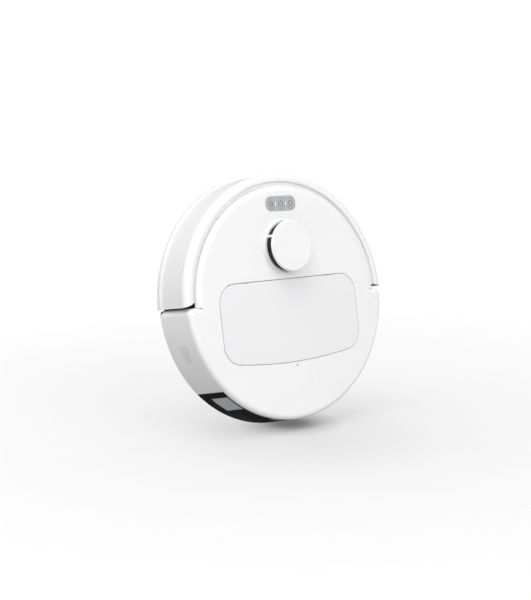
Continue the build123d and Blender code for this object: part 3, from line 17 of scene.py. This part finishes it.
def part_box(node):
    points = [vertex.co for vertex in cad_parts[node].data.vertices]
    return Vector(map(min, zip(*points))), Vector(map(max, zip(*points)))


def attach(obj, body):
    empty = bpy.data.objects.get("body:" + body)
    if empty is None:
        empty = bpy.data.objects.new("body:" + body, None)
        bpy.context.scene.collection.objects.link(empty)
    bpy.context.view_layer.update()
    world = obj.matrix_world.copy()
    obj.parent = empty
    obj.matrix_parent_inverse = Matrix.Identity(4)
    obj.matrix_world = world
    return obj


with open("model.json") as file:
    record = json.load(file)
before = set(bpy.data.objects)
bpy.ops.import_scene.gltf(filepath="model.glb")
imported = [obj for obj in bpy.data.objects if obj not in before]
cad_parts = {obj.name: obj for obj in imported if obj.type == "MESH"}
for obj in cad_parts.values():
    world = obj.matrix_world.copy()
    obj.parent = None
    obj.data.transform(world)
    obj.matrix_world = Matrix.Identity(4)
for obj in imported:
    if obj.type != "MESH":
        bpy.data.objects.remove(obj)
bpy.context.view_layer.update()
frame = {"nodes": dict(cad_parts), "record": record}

MM = 0.001

# %% [markdown]
# ## Small helpers for materials and objects
# Each finish is a Principled shader fed by a few noise patterns. Patterns could be placed by UV maps, but
# moulded parts have none, so they use object coordinates: one unit is one metre, and a grain can be given
# its real size in millimetres. Helpers keep each finish to a few readable lines, and the last one puts a
# new object into the scene.

# %% Small helpers
def blank(name):
    """A new material, its node tree and its shader."""
    material = bpy.data.materials.new(name)
    material.use_nodes = True
    tree = material.node_tree
    return material, tree, tree.nodes["Principled BSDF"]


def add(tree, kind, inputs=None, **settings):
    """Add a node, with its settings and its unlinked inputs."""
    node = tree.nodes.new(kind)
    for key, value in settings.items():
        setattr(node, key, value)
    for key, value in (inputs or {}).items():
        node.inputs[key].default_value = value
    return node


def join(tree, source, target):
    tree.links.new(source, target)


def place(tree, stretch=(1.0, 1.0, 1.0)):
    """Object coordinates, squeezed or stretched along chosen axes."""
    coords = add(tree, "ShaderNodeTexCoord")
    mapping = add(tree, "ShaderNodeMapping", {"Scale": stretch})
    join(tree, coords.outputs["Object"], mapping.inputs["Vector"])
    return mapping.outputs["Vector"]


def noise(tree, where, size_mm, detail=3.0, rough=0.55):
    """Cloudy pattern whose lumps are about size_mm across."""
    inputs = {"Scale": 1000.0 / size_mm, "Detail": detail, "Roughness": rough}
    node = add(tree, "ShaderNodeTexNoise", inputs)
    join(tree, where, node.inputs["Vector"])
    return node.outputs["Fac"]


def blend_colours(tree, factor, dark, light, low=0.3, high=0.7):
    """Colour that runs from dark to light as the pattern rises."""
    ramp = add(tree, "ShaderNodeValToRGB")
    ramp.color_ramp.elements[0].position = low
    ramp.color_ramp.elements[0].color = (*dark, 1.0)
    ramp.color_ramp.elements[1].position = high
    ramp.color_ramp.elements[1].color = (*light, 1.0)
    join(tree, factor, ramp.inputs["Fac"])
    return ramp.outputs["Color"]


def stretch_range(tree, factor, low, high):
    """Number that runs from low to high as the pattern rises."""
    node = add(tree, "ShaderNodeMapRange", {"From Min": 0.3, "From Max": 0.7, "To Min": low, "To Max": high})
    join(tree, factor, node.inputs["Value"])
    return node.outputs["Result"]


def soft_edges(tree, radius_mm):
    """Normal that rounds sharp corners by a small radius."""
    return add(tree, "ShaderNodeBevel", {"Radius": radius_mm * MM}, samples=4).outputs["Normal"]


def relief(tree, shader, height, depth_mm, edge_mm=0.0):
    """Raise a pattern by a real depth, on rounded corners if edge_mm is given."""
    bump = add(tree, "ShaderNodeBump", {"Distance": depth_mm * MM, "Strength": 1.0})
    join(tree, height, bump.inputs["Height"])
    if edge_mm:
        join(tree, soft_edges(tree, edge_mm), bump.inputs["Normal"])
    join(tree, bump.outputs["Normal"], shader.inputs["Normal"])


def scaled(colour, factor):
    return tuple(min(1.0, channel * factor) for channel in colour)


def bring_in(name, data):
    """New object in the scene, from a mesh, a lamp or a camera."""
    thing = bpy.data.objects.new(name, data)
    bpy.context.scene.collection.objects.link(thing)
    return thing


print("helpers ready")

# %% [markdown]
# ## Moulded plastic
# Most of a robot vacuum is injection-moulded plastic. A bare colour looks like a computer model, because
# a real moulding has three faint things at once: a tone that drifts a little over centimetres, a skin that
# is glossier in some places, and a fine grain left by the mould. One function makes all of them, and each
# plastic only names its own colour, gloss, grain and edge radius.

# %% Moulded plastic finish
def moulded(name, colour, rough, drift=0.03, grain_mm=0.6, depth_mm=0.004, edge_mm=0.25, gloss=0.5,
            patch=0.15):
    """Injection-moulded plastic, from glossy to grained; patch is how unevenly it shines."""
    material, tree, shader = blank(name)
    where = place(tree)
    wide = noise(tree, where, 45.0, 2.0)
    fine = noise(tree, where, grain_mm, 2.0)
    smear = noise(tree, where, 9.0, 4.0)
    tone = blend_colours(tree, wide, scaled(colour, 1.0 - drift), scaled(colour, 1.0 + drift * 0.4))
    join(tree, tone, shader.inputs["Base Color"])
    uneven = stretch_range(tree, smear, rough * (1.0 - patch), rough * (1.0 + patch))
    join(tree, uneven, shader.inputs["Roughness"])
    shader.inputs["Specular IOR Level"].default_value = gloss
    relief(tree, shader, fine, depth_mm, edge_mm)
    return material


WHITE = (0.83, 0.83, 0.835)
finishes = {
    "white_shell": moulded("shell_white_satin", WHITE, 0.40, 0.012, 0.8, 0.002, 0.35, 0.5, 0.05),
    "lid_white": moulded("lid_white_smooth", (0.79, 0.79, 0.80), 0.38, 0.008, 1.0, 0.001, 0.25, 0.5, 0.03),
    "bumper_grey": moulded("guard_grey", (0.055, 0.056, 0.06), 0.55, 0.10, 0.35, 0.02, 0.3, 0.35),
    "dark_base": moulded("underside_charcoal", (0.035, 0.036, 0.038), 0.62, 0.12, 0.30, 0.03, 0.3, 0.35),
    "panel_black": moulded("rear_panel_black", (0.003, 0.003, 0.004), 0.30, 0.15, 1.5, 0.001, 0.2, 0.04),
    "window_dark": moulded("laser_window_dark", (0.006, 0.004, 0.005), 0.16, 0.10, 2.0, 0.0006, 0.1, 0.2),
    "head_black": moulded("matte_black", (0.016, 0.016, 0.017), 0.6, 0.12, 0.3, 0.02, 0.2, 0.3),
    "inner_grey": moulded("inner_grey", (0.22, 0.23, 0.245), 0.5, 0.08, 0.45, 0.015, 0.3),
    "grille_grey": moulded("grille_grey", (0.34, 0.345, 0.35), 0.5, 0.08, 0.4, 0.012, 0.15),
    "gear_white": moulded("gear_nylon", (0.72, 0.71, 0.66), 0.42, 0.04, 0.9, 0.004, 0.15),
}
print("plastics", sorted(finishes))

# %% [markdown]
# ## Painted keys
# The button panel is grey plastic under a metallic lacquer. Tiny flakes catch the light one by one, so the
# finish mixes a cell pattern, a fraction of a millimetre across, into the tone and the gloss. A plain noise
# would blur the flakes together, so cells are used.

# %% Metallic lacquer
def lacquer(name, colour, rough):
    """Grey lacquer with fine bright flakes."""
    material, tree, shader = blank(name)
    where = place(tree)
    flakes = add(tree, "ShaderNodeTexVoronoi", {"Scale": 1000.0 / 0.22})
    join(tree, where, flakes.inputs["Vector"])
    tone = blend_colours(tree, flakes.outputs["Color"], scaled(colour, 0.90), scaled(colour, 1.14), 0.1, 0.9)
    join(tree, tone, shader.inputs["Base Color"])
    uneven = stretch_range(tree, noise(tree, where, 6.0), rough * 0.9, rough * 1.1)
    join(tree, uneven, shader.inputs["Roughness"])
    shader.inputs["Metallic"].default_value = 0.25
    shader.inputs["Coat Weight"].default_value = 0.2
    relief(tree, shader, flakes.outputs["Distance"], 0.003, 0.25)
    return material


finishes["key_grey"] = lacquer("key_lacquer", (0.47, 0.475, 0.485), 0.42)
print("lacquer ready")

# %% [markdown]
# ## Metals
# Pins, screws and motor cans are steel, and the dock contacts are plated. Ground steel shows fine lines
# along one direction. The lines come from a noise squeezed thin on one axis and stretched long on another,
# which is cheap and follows the piece, where a drawn image would need a UV map.

# %% Ground and plated metal
def ground_metal(name, colour, rough, lines):
    """Metal with fine grinding lines, stretched as the three factors say."""
    material, tree, shader = blank(name)
    streak = noise(tree, place(tree, lines), 1.0, 4.0, 0.7)
    stain = noise(tree, place(tree), 14.0, 3.0)
    join(tree, blend_colours(tree, stain, scaled(colour, 0.82), colour), shader.inputs["Base Color"])
    join(tree, stretch_range(tree, streak, rough * 0.7, rough * 1.4), shader.inputs["Roughness"])
    shader.inputs["Metallic"].default_value = 1.0
    relief(tree, shader, streak, 0.006, 0.15)
    return material


finishes["steel"] = ground_metal("ground_steel", (0.56, 0.56, 0.57), 0.32, (0.3, 4.0, 4.0))
finishes["motor_steel"] = ground_metal("motor_can_steel", (0.50, 0.50, 0.515), 0.38, (3.0, 3.0, 0.2))
finishes["contact_metal"] = ground_metal("plated_contact", (0.86, 0.85, 0.82), 0.42, (0.4, 2.0, 6.0))
print("metals ready")

# %% [markdown]
# ## Rubber
# Tyres, belt and brush fins are rubber. Rubber is matte, picks up dust on its high spots and has a pebbly
# skin. The dust is a paler tone where a coarse noise peaks, so it breaks up the black without a pattern
# that repeats.

# %% Rubber finish
def rubber(name, colour, dust, rough=0.78):
    """Matte rubber with pale dust on its skin."""
    material, tree, shader = blank(name)
    where = place(tree)
    patches = noise(tree, where, 7.0, 6.0, 0.7)
    join(tree, blend_colours(tree, patches, colour, dust, 0.45, 0.85), shader.inputs["Base Color"])
    uneven = stretch_range(tree, patches, rough * 0.85, min(1.0, rough * 1.15))
    join(tree, uneven, shader.inputs["Roughness"])
    shader.inputs["Specular IOR Level"].default_value = 0.3
    relief(tree, shader, noise(tree, where, 0.5, 3.0), 0.04, 0.25)
    return material


finishes["tyre_rubber"] = rubber("tyre_black", (0.022, 0.022, 0.023), (0.07, 0.068, 0.065))
finishes["belt_rubber"] = rubber("belt_black", (0.018, 0.018, 0.018), (0.05, 0.05, 0.05))
finishes["brush_rubber"] = rubber("brush_blue", (0.10, 0.16, 0.22), (0.20, 0.26, 0.31), 0.66)
finishes["bristle_nylon"] = moulded("bristle_black", (0.02, 0.02, 0.021), 0.45, 0.1, 0.2, 0.004, 0.0)
print("rubbers ready")

# %% [markdown]
# ## Clear and special pieces
# The dust bin is smoked, see-through plastic: a shader with some transmission, tinted dark. The filter is
# folded paper, so its relief is fibrous and its tone warm. The boards are green solder mask with copper
# runs under it, made from a brick pattern, because straight runs with sharp turns read as a circuit.

# %% Smoked bin, light lens, filter paper, circuit board and battery wrap
def smoked(name, colour, clear, rough):
    """See-through plastic with faint scuffs."""
    material, tree, shader = blank(name)
    where = place(tree)
    scuffs = noise(tree, place(tree, (0.4, 3.0, 1.0)), 5.0, 5.0, 0.7)
    join(tree, blend_colours(tree, scuffs, colour, scaled(colour, 1.25)), shader.inputs["Base Color"])
    join(tree, stretch_range(tree, scuffs, rough * 0.7, rough * 1.6), shader.inputs["Roughness"])
    shader.inputs["Transmission Weight"].default_value = clear
    shader.inputs["IOR"].default_value = 1.49
    relief(tree, shader, noise(tree, where, 3.0), 0.01, 0.3)
    return material


def paper(name):
    """Fibrous filter paper."""
    material, tree, shader = blank(name)
    where = place(tree)
    fibres = noise(tree, place(tree, (1.0, 1.0, 0.25)), 0.5, 5.0, 0.75)
    tone = blend_colours(tree, fibres, (0.62, 0.60, 0.54), (0.84, 0.83, 0.78))
    join(tree, tone, shader.inputs["Base Color"])
    join(tree, stretch_range(tree, noise(tree, where, 4.0), 0.8, 0.95), shader.inputs["Roughness"])
    relief(tree, shader, fibres, 0.08, 0.2)
    return material


def circuit(name):
    """Green board with copper runs under the mask."""
    material, tree, shader = blank(name)
    where = place(tree)
    runs = add(tree, "ShaderNodeTexBrick", {
        "Scale": 260.0, "Mortar Size": 0.028, "Mortar Smooth": 0.1, "Brick Width": 0.9, "Row Height": 0.22,
        "Color1": (0.010, 0.085, 0.040, 1.0), "Color2": (0.008, 0.070, 0.034, 1.0),
        "Mortar": (0.030, 0.190, 0.085, 1.0)})
    join(tree, where, runs.inputs["Vector"])
    join(tree, runs.outputs["Color"], shader.inputs["Base Color"])
    join(tree, stretch_range(tree, noise(tree, where, 5.0), 0.30, 0.42), shader.inputs["Roughness"])
    relief(tree, shader, runs.outputs["Fac"], 0.03, 0.15)
    return material


finishes["bin_clear"] = smoked("smoked_bin", (0.16, 0.17, 0.185), 0.75, 0.12)
finishes["light_clear"] = smoked("light_lens", (0.62, 0.66, 0.70), 0.35, 0.2)
finishes["filter_white"] = paper("filter_paper")
finishes["board_green"] = circuit("circuit_board")
finishes["battery_wrap"] = moulded("battery_wrap_blue", (0.03, 0.09, 0.26), 0.3, 0.12, 6.0, 0.08, 0.4)
print("all finishes", len(finishes))

# %% [markdown]
# ## Put each finish on its pieces
# The record says which slot each piece belongs to, so one loop dresses them all, and nothing can be
# missed. Smooth shading comes with the pieces, which carry their own normals, so nothing is smoothed here.

# %% Dress every piece
slot_of = {entry["node"]: entry["material_slot"] for entry in frame["record"]["subparts"]}
for node, piece in frame["nodes"].items():
    finish = finishes[slot_of[node]]
    if not piece.material_slots:
        piece.data.materials.append(finish)
    for slot in piece.material_slots:
        slot.material = finish
print("dressed", len(slot_of), "pieces in", len(set(slot_of.values())), "finishes")

# %% [markdown]
# ## Printed marks on the keys
# The keys carry dark printed marks: a round arrow, a power sign and a house. They could be painted in the
# material, but a print has a crisp edge at any distance, so each is a plate a few hundredths of a
# millimetre thick, lying on its key. Two small functions give the outlines of arcs and straight bars.

# %% Mark helpers and the three marks
def plate(name, outlines, height, thickness, body, finish):
    """Thin flat piece from outlines in the XY plane, riding on a body."""
    mesh = bmesh.new()
    for outline in outlines:
        mesh.faces.new([mesh.verts.new((x, y, height)) for x, y in outline])
    bmesh.ops.recalc_face_normals(mesh, faces=mesh.faces)
    raised = bmesh.ops.extrude_face_region(mesh, geom=mesh.faces[:])
    tops = [item for item in raised["geom"] if isinstance(item, bmesh.types.BMVert)]
    bmesh.ops.translate(mesh, verts=tops, vec=(0, 0, thickness))
    bmesh.ops.recalc_face_normals(mesh, faces=mesh.faces)
    data = bpy.data.meshes.new(name)
    mesh.to_mesh(data)
    mesh.free()
    piece = bring_in(name, data)
    data.materials.append(finish)
    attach(piece, body)
    return piece


def arc_outline(x, y, radius, width, start, end, steps=28):
    """Band along an arc, from one angle to another in degrees."""
    outer, inner = [], []
    for step in range(steps + 1):
        angle = radians(start + (end - start) * step / steps)
        outer.append((x + (radius + width / 2) * cos(angle), y + (radius + width / 2) * sin(angle)))
        inner.append((x + (radius - width / 2) * cos(angle), y + (radius - width / 2) * sin(angle)))
    return outer + inner[::-1]


def bar_outline(start, end, width):
    """Straight band between two points."""
    a, b = Vector(start), Vector(end)
    along = b - a
    side = Vector((-along.y, along.x)).normalized() * width / 2
    return [tuple(a + side), tuple(b + side), tuple(b - side), tuple(a - side)]


ink = moulded("key_ink", (0.035, 0.036, 0.04), 0.5, 0.1, 0.3, 0.002, 0.0, 0.3)
LINE = 0.75 * MM
MARK = 3.7 * MM
PRINT = 0.04 * MM


def key_middle(node):
    """Middle of a key's top face, and its height."""
    low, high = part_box(node)
    return (low.x + high.x) / 2, (low.y + high.y) / 2, high.z


STROKE_START, STROKE_END = 0.4 * MM, 4.6 * MM
x, y, top = key_middle("button_power")
power = [arc_outline(x, y, MARK, LINE, -60, 240)]
power.append(bar_outline((x, y - STROKE_START), (x, y - STROKE_END), LINE))
plate("mark_power", power, top, PRINT, "key_power", ink)

ARROW_TURN = 200
ARROW_CORNERS = [(-1.3, 0.0), (1.3, -0.2), (-0.1, 1.9)]
DOT, DOT_WIDTH = 0.6 * MM, 1.1 * MM
x, y, top = key_middle("button_dock")
tip_x, tip_y = x + MARK * cos(radians(ARROW_TURN)), y + MARK * sin(radians(ARROW_TURN))
turn = [arc_outline(x, y, MARK, LINE, -130, 195)]
turn.append([(tip_x + aside * MM, tip_y + up * MM) for aside, up in ARROW_CORNERS])
turn.append(arc_outline(x, y, DOT, DOT_WIDTH, 0, 350))
plate("mark_turn", turn, top, PRINT, "key_dock", ink)

ROOF = 4.0 * MM
WALL, EAVE, SILL = 2.6 * MM, -0.4 * MM, 3.3 * MM
x, y, top = key_middle("button_spot")
eaves = [(x + side * ROOF, y + EAVE) for side in (-1, 1)]
house = [bar_outline(eaves[0], (x, y - ROOF), LINE), bar_outline((x, y - ROOF), eaves[1], LINE)]
for side in (-1, 1):
    house.append(bar_outline((x + side * WALL, y + EAVE), (x + side * WALL, y + SILL), LINE))
house.append(bar_outline((x - WALL, y + SILL), (x + WALL, y + SILL), LINE))
plate("mark_house", house, top, PRINT, "key_spot", ink)
print("marks on keys whose tops are at", round(top / MM, 2), "mm")

# %% [markdown]
# ## Two small lights between the keys
# Between the keys stand two thin milky windows, each with a light behind. They are simple rounded bars, so
# they are plates too, in a finish that glows a little.

# %% Key lights
def milky(name):
    """Milky plastic with a faint glow."""
    material, tree, shader = blank(name)
    where = place(tree)
    tone = blend_colours(tree, noise(tree, where, 2.0), (0.82, 0.84, 0.86), (0.92, 0.93, 0.95))
    join(tree, tone, shader.inputs["Base Color"])
    join(tree, stretch_range(tree, noise(tree, where, 1.0), 0.3, 0.45), shader.inputs["Roughness"])
    shader.inputs["Emission Color"].default_value = (1.0, 1.0, 1.0, 1.0)
    shader.inputs["Emission Strength"].default_value = 0.25
    return material


def rounded_bar(x, y, half_width, half_length, steps=8):
    """Upright bar with round ends."""
    points = []
    for end in (1, -1):
        centre_y = y + end * (half_length - half_width)
        for step in range(steps + 1):
            angle = pi * step / steps + (0.0 if end > 0 else pi)
            points.append((x + half_width * cos(angle), centre_y + half_width * sin(angle)))
    return points


LIGHT_HALF_WIDTH, LIGHT_HALF_LENGTH, LIGHT_RISE = 0.55 * MM, 2.6 * MM, 0.05 * MM
light_finish = milky("key_light")
panel_low, panel_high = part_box("button_frame")
middle_y = (panel_low.y + panel_high.y) / 2
pitch = key_middle("button_dock")[0] - key_middle("button_power")[0]
bars = [rounded_bar(side * pitch / 2, middle_y, LIGHT_HALF_WIDTH, LIGHT_HALF_LENGTH) for side in (-1, 1)]
plate("key_lights", bars, panel_high.z, LIGHT_RISE, "chassis", light_finish)
print("lights", pitch / 2 / MM, "mm either side of the middle")

# %% [markdown]
# ## Woven mesh over the exhaust
# The slits of the exhaust are covered by a fine mesh, bonded to the face of the grille. A see-through
# material would look flat from the side, so the wires are real: a curved grid is drawn over the window and
# Blender's Wireframe modifier turns every edge into a thin bar. The back of the robot leans in towards its
# top, so the grid is drawn on a slim cone, measured from the grille itself.

# %% Exhaust mesh
def curved_grid(name, angles, heights, radii, columns, rows):
    """Grid on a cone about Z, by angles from +Y towards +X, and radii at the foot and the top."""
    (low_angle, high_angle), (low, high), (foot, top) = angles, heights, radii
    mesh = bmesh.new()
    lines = []
    for row in range(rows + 1):
        height = low + (high - low) * row / rows
        radius = foot + (top - foot) * row / rows
        line = []
        for column in range(columns + 1):
            angle = low_angle + (high_angle - low_angle) * column / columns
            line.append(mesh.verts.new((radius * sin(angle), radius * cos(angle), height)))
        lines.append(line)
    for row in range(rows):
        for column in range(columns):
            low_pair = lines[row][column:column + 2]
            high_pair = lines[row + 1][column:column + 2]
            mesh.faces.new(low_pair + high_pair[::-1])
    data = bpy.data.meshes.new(name)
    mesh.to_mesh(data)
    mesh.free()
    return bring_in(name, data)


def face_radius(points, height):
    """Outer radius of a curved piece within half a millimetre of one height."""
    return max(Vector(point.xy).length for point in points if abs(point.z - height) < 0.5 * MM)


WIRE = 0.55 * MM
PROUD = 0.35 * WIRE
COLUMNS, ROWS = 20, 26
grille_points = [corner.co for corner in frame["nodes"]["exhaust_grille"].data.vertices]
grille_low, grille_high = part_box("exhaust_grille")
turns = [atan2(point.x, point.y) for point in grille_points]
spans = (min(turns), max(turns)), (grille_low.z, grille_high.z)
faces = [face_radius(grille_points, height) + PROUD for height in spans[1]]
weave = curved_grid("exhaust_mesh", *spans, faces, COLUMNS, ROWS)
wires = weave.modifiers.new("wires", "WIREFRAME")
wires.thickness = WIRE
weave.data.materials.append(moulded("mesh_wire", (0.62, 0.63, 0.64), 0.5, 0.1, 0.3, 0.004, 0.0))
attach(weave, "chassis")
print("mesh radius", [round(face / MM, 2) for face in faces], "mm at its foot and top")

# %% [markdown]
# ## The floor
# The robot stands on its rear rim on a pale studio floor, leaning back a little, so the floor is a plane
# square to that lean and touching the rim. It is found by measuring, not by eye: the lowest point of every
# piece along the leaning upright gives its height. To the camera the floor glows with painted shade: dimmer
# near the rim and brighter further out, with a painted contact shadow where the rim touches, so the real
# shadow stays faint. Its back face is see-through, so that a view from behind the floor still shows the
# object.

# %% Leaning upright and floor plane
LEAN = radians(9.9)
UPRIGHT = Vector((0.0, -cos(LEAN), sin(LEAN)))
ASIDE = Vector((1.0, 0.0, 0.0))
ACROSS = UPRIGHT.cross(ASIDE)
rest = min(corner.co.dot(UPRIGHT) for piece in frame["nodes"].values() for corner in piece.data.vertices)


def on_floor(aside, across):
    """Point of the floor, from the place under the middle of the body."""
    return tuple(UPRIGHT * rest + ASIDE * aside + ACROSS * across)


# Distance in metres and strength, for the painted shade of the wide glow and for the painted contact shadow
# where the rim touches.
PAINTED_SHADE_LEVELS = [(0.0, 0.53), (0.10, 0.60), (0.18, 0.67), (0.3, 0.71), (0.5, 0.745), (0.75, 0.78), (1.0, 0.82)]
PAINTED_SHADE_GLOW = (on_floor(0.02, 0.14), PAINTED_SHADE_LEVELS + [(1.6, 0.90), (3.0, 1.0)])
PAINTED_CONTACT_SHADOW = (on_floor(-0.01, 0.065), [(0.0, 0.22), (0.02, 0.30), (0.045, 0.72), (0.075, 1.0), (1.0, 1.0)])


def by_distance(tree, where, centre, levels):
    """Strength that changes with the distance from a point, through the levels given."""
    reach = levels[-1][0]
    away = add(tree, "ShaderNodeVectorMath", operation="DISTANCE")
    join(tree, where, away.inputs[0])
    away.inputs[1].default_value = centre
    metres = add(tree, "ShaderNodeMapRange", {"From Max": reach})
    join(tree, away.outputs["Value"], metres.inputs["Value"])
    ramp = add(tree, "ShaderNodeValToRGB")
    stops = ramp.color_ramp.elements
    stops[1].position = 1.0
    for number, (distance, level) in enumerate(levels):
        if 0 < number < len(levels) - 1:
            stop = stops.new(distance / reach)
        else:
            stop = stops[0] if number == 0 else stops[len(stops) - 1]
        stop.color = (level, level, level, 1.0)
    join(tree, metres.outputs["Result"], ramp.inputs["Fac"])
    return ramp.outputs["Color"]


# The camera is shown only this share of the floor's colour, so the painted shade of the glow, more than the
# lamps, sets how the floor looks to it.
CAMERA_SHARE = 0.44      # How much of the floor's own colour the camera is shown.


def painted_shade_floor_finish():
    """Pale matte floor, seen from its front only, glowing to the camera with painted shade and a painted
    contact shadow around the rim.
    """
    material, tree, shader = blank("studio_floor")
    where = place(tree)
    seen = add(tree, "ShaderNodeLightPath").outputs["Is Camera Ray"]
    tone = blend_colours(tree, noise(tree, where, 60.0), (0.44, 0.44, 0.44), (0.46, 0.46, 0.46))
    share = add(tree, "ShaderNodeMapRange", {"To Min": 1.0, "To Max": CAMERA_SHARE})
    join(tree, seen, share.inputs["Value"])
    shaded = add(tree, "ShaderNodeVectorMath", operation="SCALE")
    join(tree, tone, shaded.inputs[0])
    join(tree, share.outputs["Result"], shaded.inputs["Scale"])
    join(tree, shaded.outputs["Vector"], shader.inputs["Base Color"])
    shader.inputs["Emission Color"].default_value = (1.0, 1.0, 1.0, 1.0)
    # The emission to the camera is painted shade: weaker near the rim, and weakest in the painted contact
    # shadow where the rim touches.
    strength = seen
    for around in (PAINTED_SHADE_GLOW, PAINTED_CONTACT_SHADOW):
        part = add(tree, "ShaderNodeMath", operation="MULTIPLY")
        join(tree, strength, part.inputs[0])
        join(tree, by_distance(tree, where, *around), part.inputs[1])
        strength = part.outputs["Value"]
    join(tree, strength, shader.inputs["Emission Strength"])
    shader.inputs["Roughness"].default_value = 0.9
    shader.inputs["Specular IOR Level"].default_value = 0.1
    side = add(tree, "ShaderNodeNewGeometry").outputs["Backfacing"]
    mix = add(tree, "ShaderNodeMixShader")
    clear = add(tree, "ShaderNodeBsdfTransparent")
    output = tree.nodes["Material Output"]
    join(tree, side, mix.inputs["Fac"])
    join(tree, shader.outputs["BSDF"], mix.inputs[1])
    join(tree, clear.outputs["BSDF"], mix.inputs[2])
    join(tree, mix.outputs["Shader"], output.inputs["Surface"])
    return material


FLOOR_HALF = 6.0
floor_mesh = bpy.data.meshes.new("studio_floor")
corners = []
for u, v in ((-1, -1), (1, -1), (1, 1), (-1, 1)):
    corners.append(UPRIGHT * rest + (ASIDE * u + ACROSS * v) * FLOOR_HALF)
order = [0, 1, 2, 3]
if (corners[1] - corners[0]).cross(corners[2] - corners[1]).dot(UPRIGHT) < 0:
    order.reverse()          # The face has to look up, since its back is see-through.
floor_mesh.from_pydata([tuple(corner) for corner in corners], [], [order])
floor = bring_in("studio_floor", floor_mesh)
floor_mesh.materials.append(painted_shade_floor_finish())
print("floor touches at", round(rest / MM, 2), "mm along the leaning upright")

# %% [markdown]
# ## Camera
# A short telephoto, level with the horizon of that floor and pitched about 8 degrees down. Its place and
# directions are given in the frame of the object, and the rotation is built from its right, up and back
# directions, which is safer than three angles.

# %% Camera
EYE = Vector((1.02058, -0.01819, 1.34578))
LOOK = Vector((-0.6104, 0.0110, -0.7920)).normalized()
UP_HINT = Vector((-0.0907, -0.9943, 0.0561))
FOCAL_MM, FILM_MM = 72.33, 36.0
FAR = 60.0
right = LOOK.cross(UP_HINT).normalized()
above = right.cross(LOOK).normalized()
turn_matrix = Matrix((right, above, -LOOK)).transposed()
lens = bpy.data.cameras.new("camera")
lens.sensor_fit = "VERTICAL"
lens.sensor_height = FILM_MM
lens.lens = FOCAL_MM
lens.clip_end = FAR
camera = bring_in("camera", lens)
camera.matrix_world = Matrix.Translation(EYE) @ turn_matrix.to_4x4()
bpy.context.scene.camera = camera
print("sine of the angle between view and floor", round(LOOK.dot(UPRIGHT), 3))

# %% [markdown]
# ## Light
# A studio lights white goods almost without shadow: a bright surround and three large soft lamps. They
# could be small and strong, but then each moulded edge would throw a hard line. The highest stands
# overhead for the edges and the side, the one at the right faces the flat top, and a weak one at the left
# lifts the side wall.

# %% Surround and lamps
INWARD = (LOOK - UPRIGHT * LOOK.dot(UPRIGHT)).normalized()
LAMP_SIZE = 2.0
MIDDLE = Vector((0.0, 0.0, 0.05))


def lamp(name, aside, up, back, power):
    """Square soft lamp aimed at the object, placed right, up and towards the camera, in metres."""
    data = bpy.data.lights.new(name, "AREA")
    data.shape = "SQUARE"
    data.size = LAMP_SIZE
    data.energy = power
    light = bring_in(name, data)
    light.location = MIDDLE + right * aside + UPRIGHT * up - INWARD * back
    aim = MIDDLE - light.location
    light.rotation_euler = aim.to_track_quat("-Z", "Y").to_euler()


lamp("key_lamp", -0.5, 2.6, 0.9, 46.5)
lamp("right_lamp", 1.5, 0.9, 2.0, 44.0)
lamp("left_lamp", -2.2, 1.2, 0.8, 19.0)
world = bpy.data.worlds.new("surround")
world.use_nodes = True
background = world.node_tree.nodes["Background"]
background.inputs["Color"].default_value = (1.0, 1.0, 1.0, 1.0)
seen = add(world.node_tree, "ShaderNodeLightPath").outputs["Is Camera Ray"]
strength = add(world.node_tree, "ShaderNodeMapRange", {"To Min": 0.35, "To Max": 1.0})
join(world.node_tree, seen, strength.inputs["Value"])
join(world.node_tree, strength.outputs["Result"], background.inputs["Strength"])
bpy.context.scene.world = world
bpy.context.scene.view_settings.view_transform = "Standard"
print("lamps set")

# %% [markdown]
# ## Last update
# The view layer is updated once more, so every parented piece and lamp has its final place in the scene.

# %% Update the view layer
bpy.context.view_layer.update()
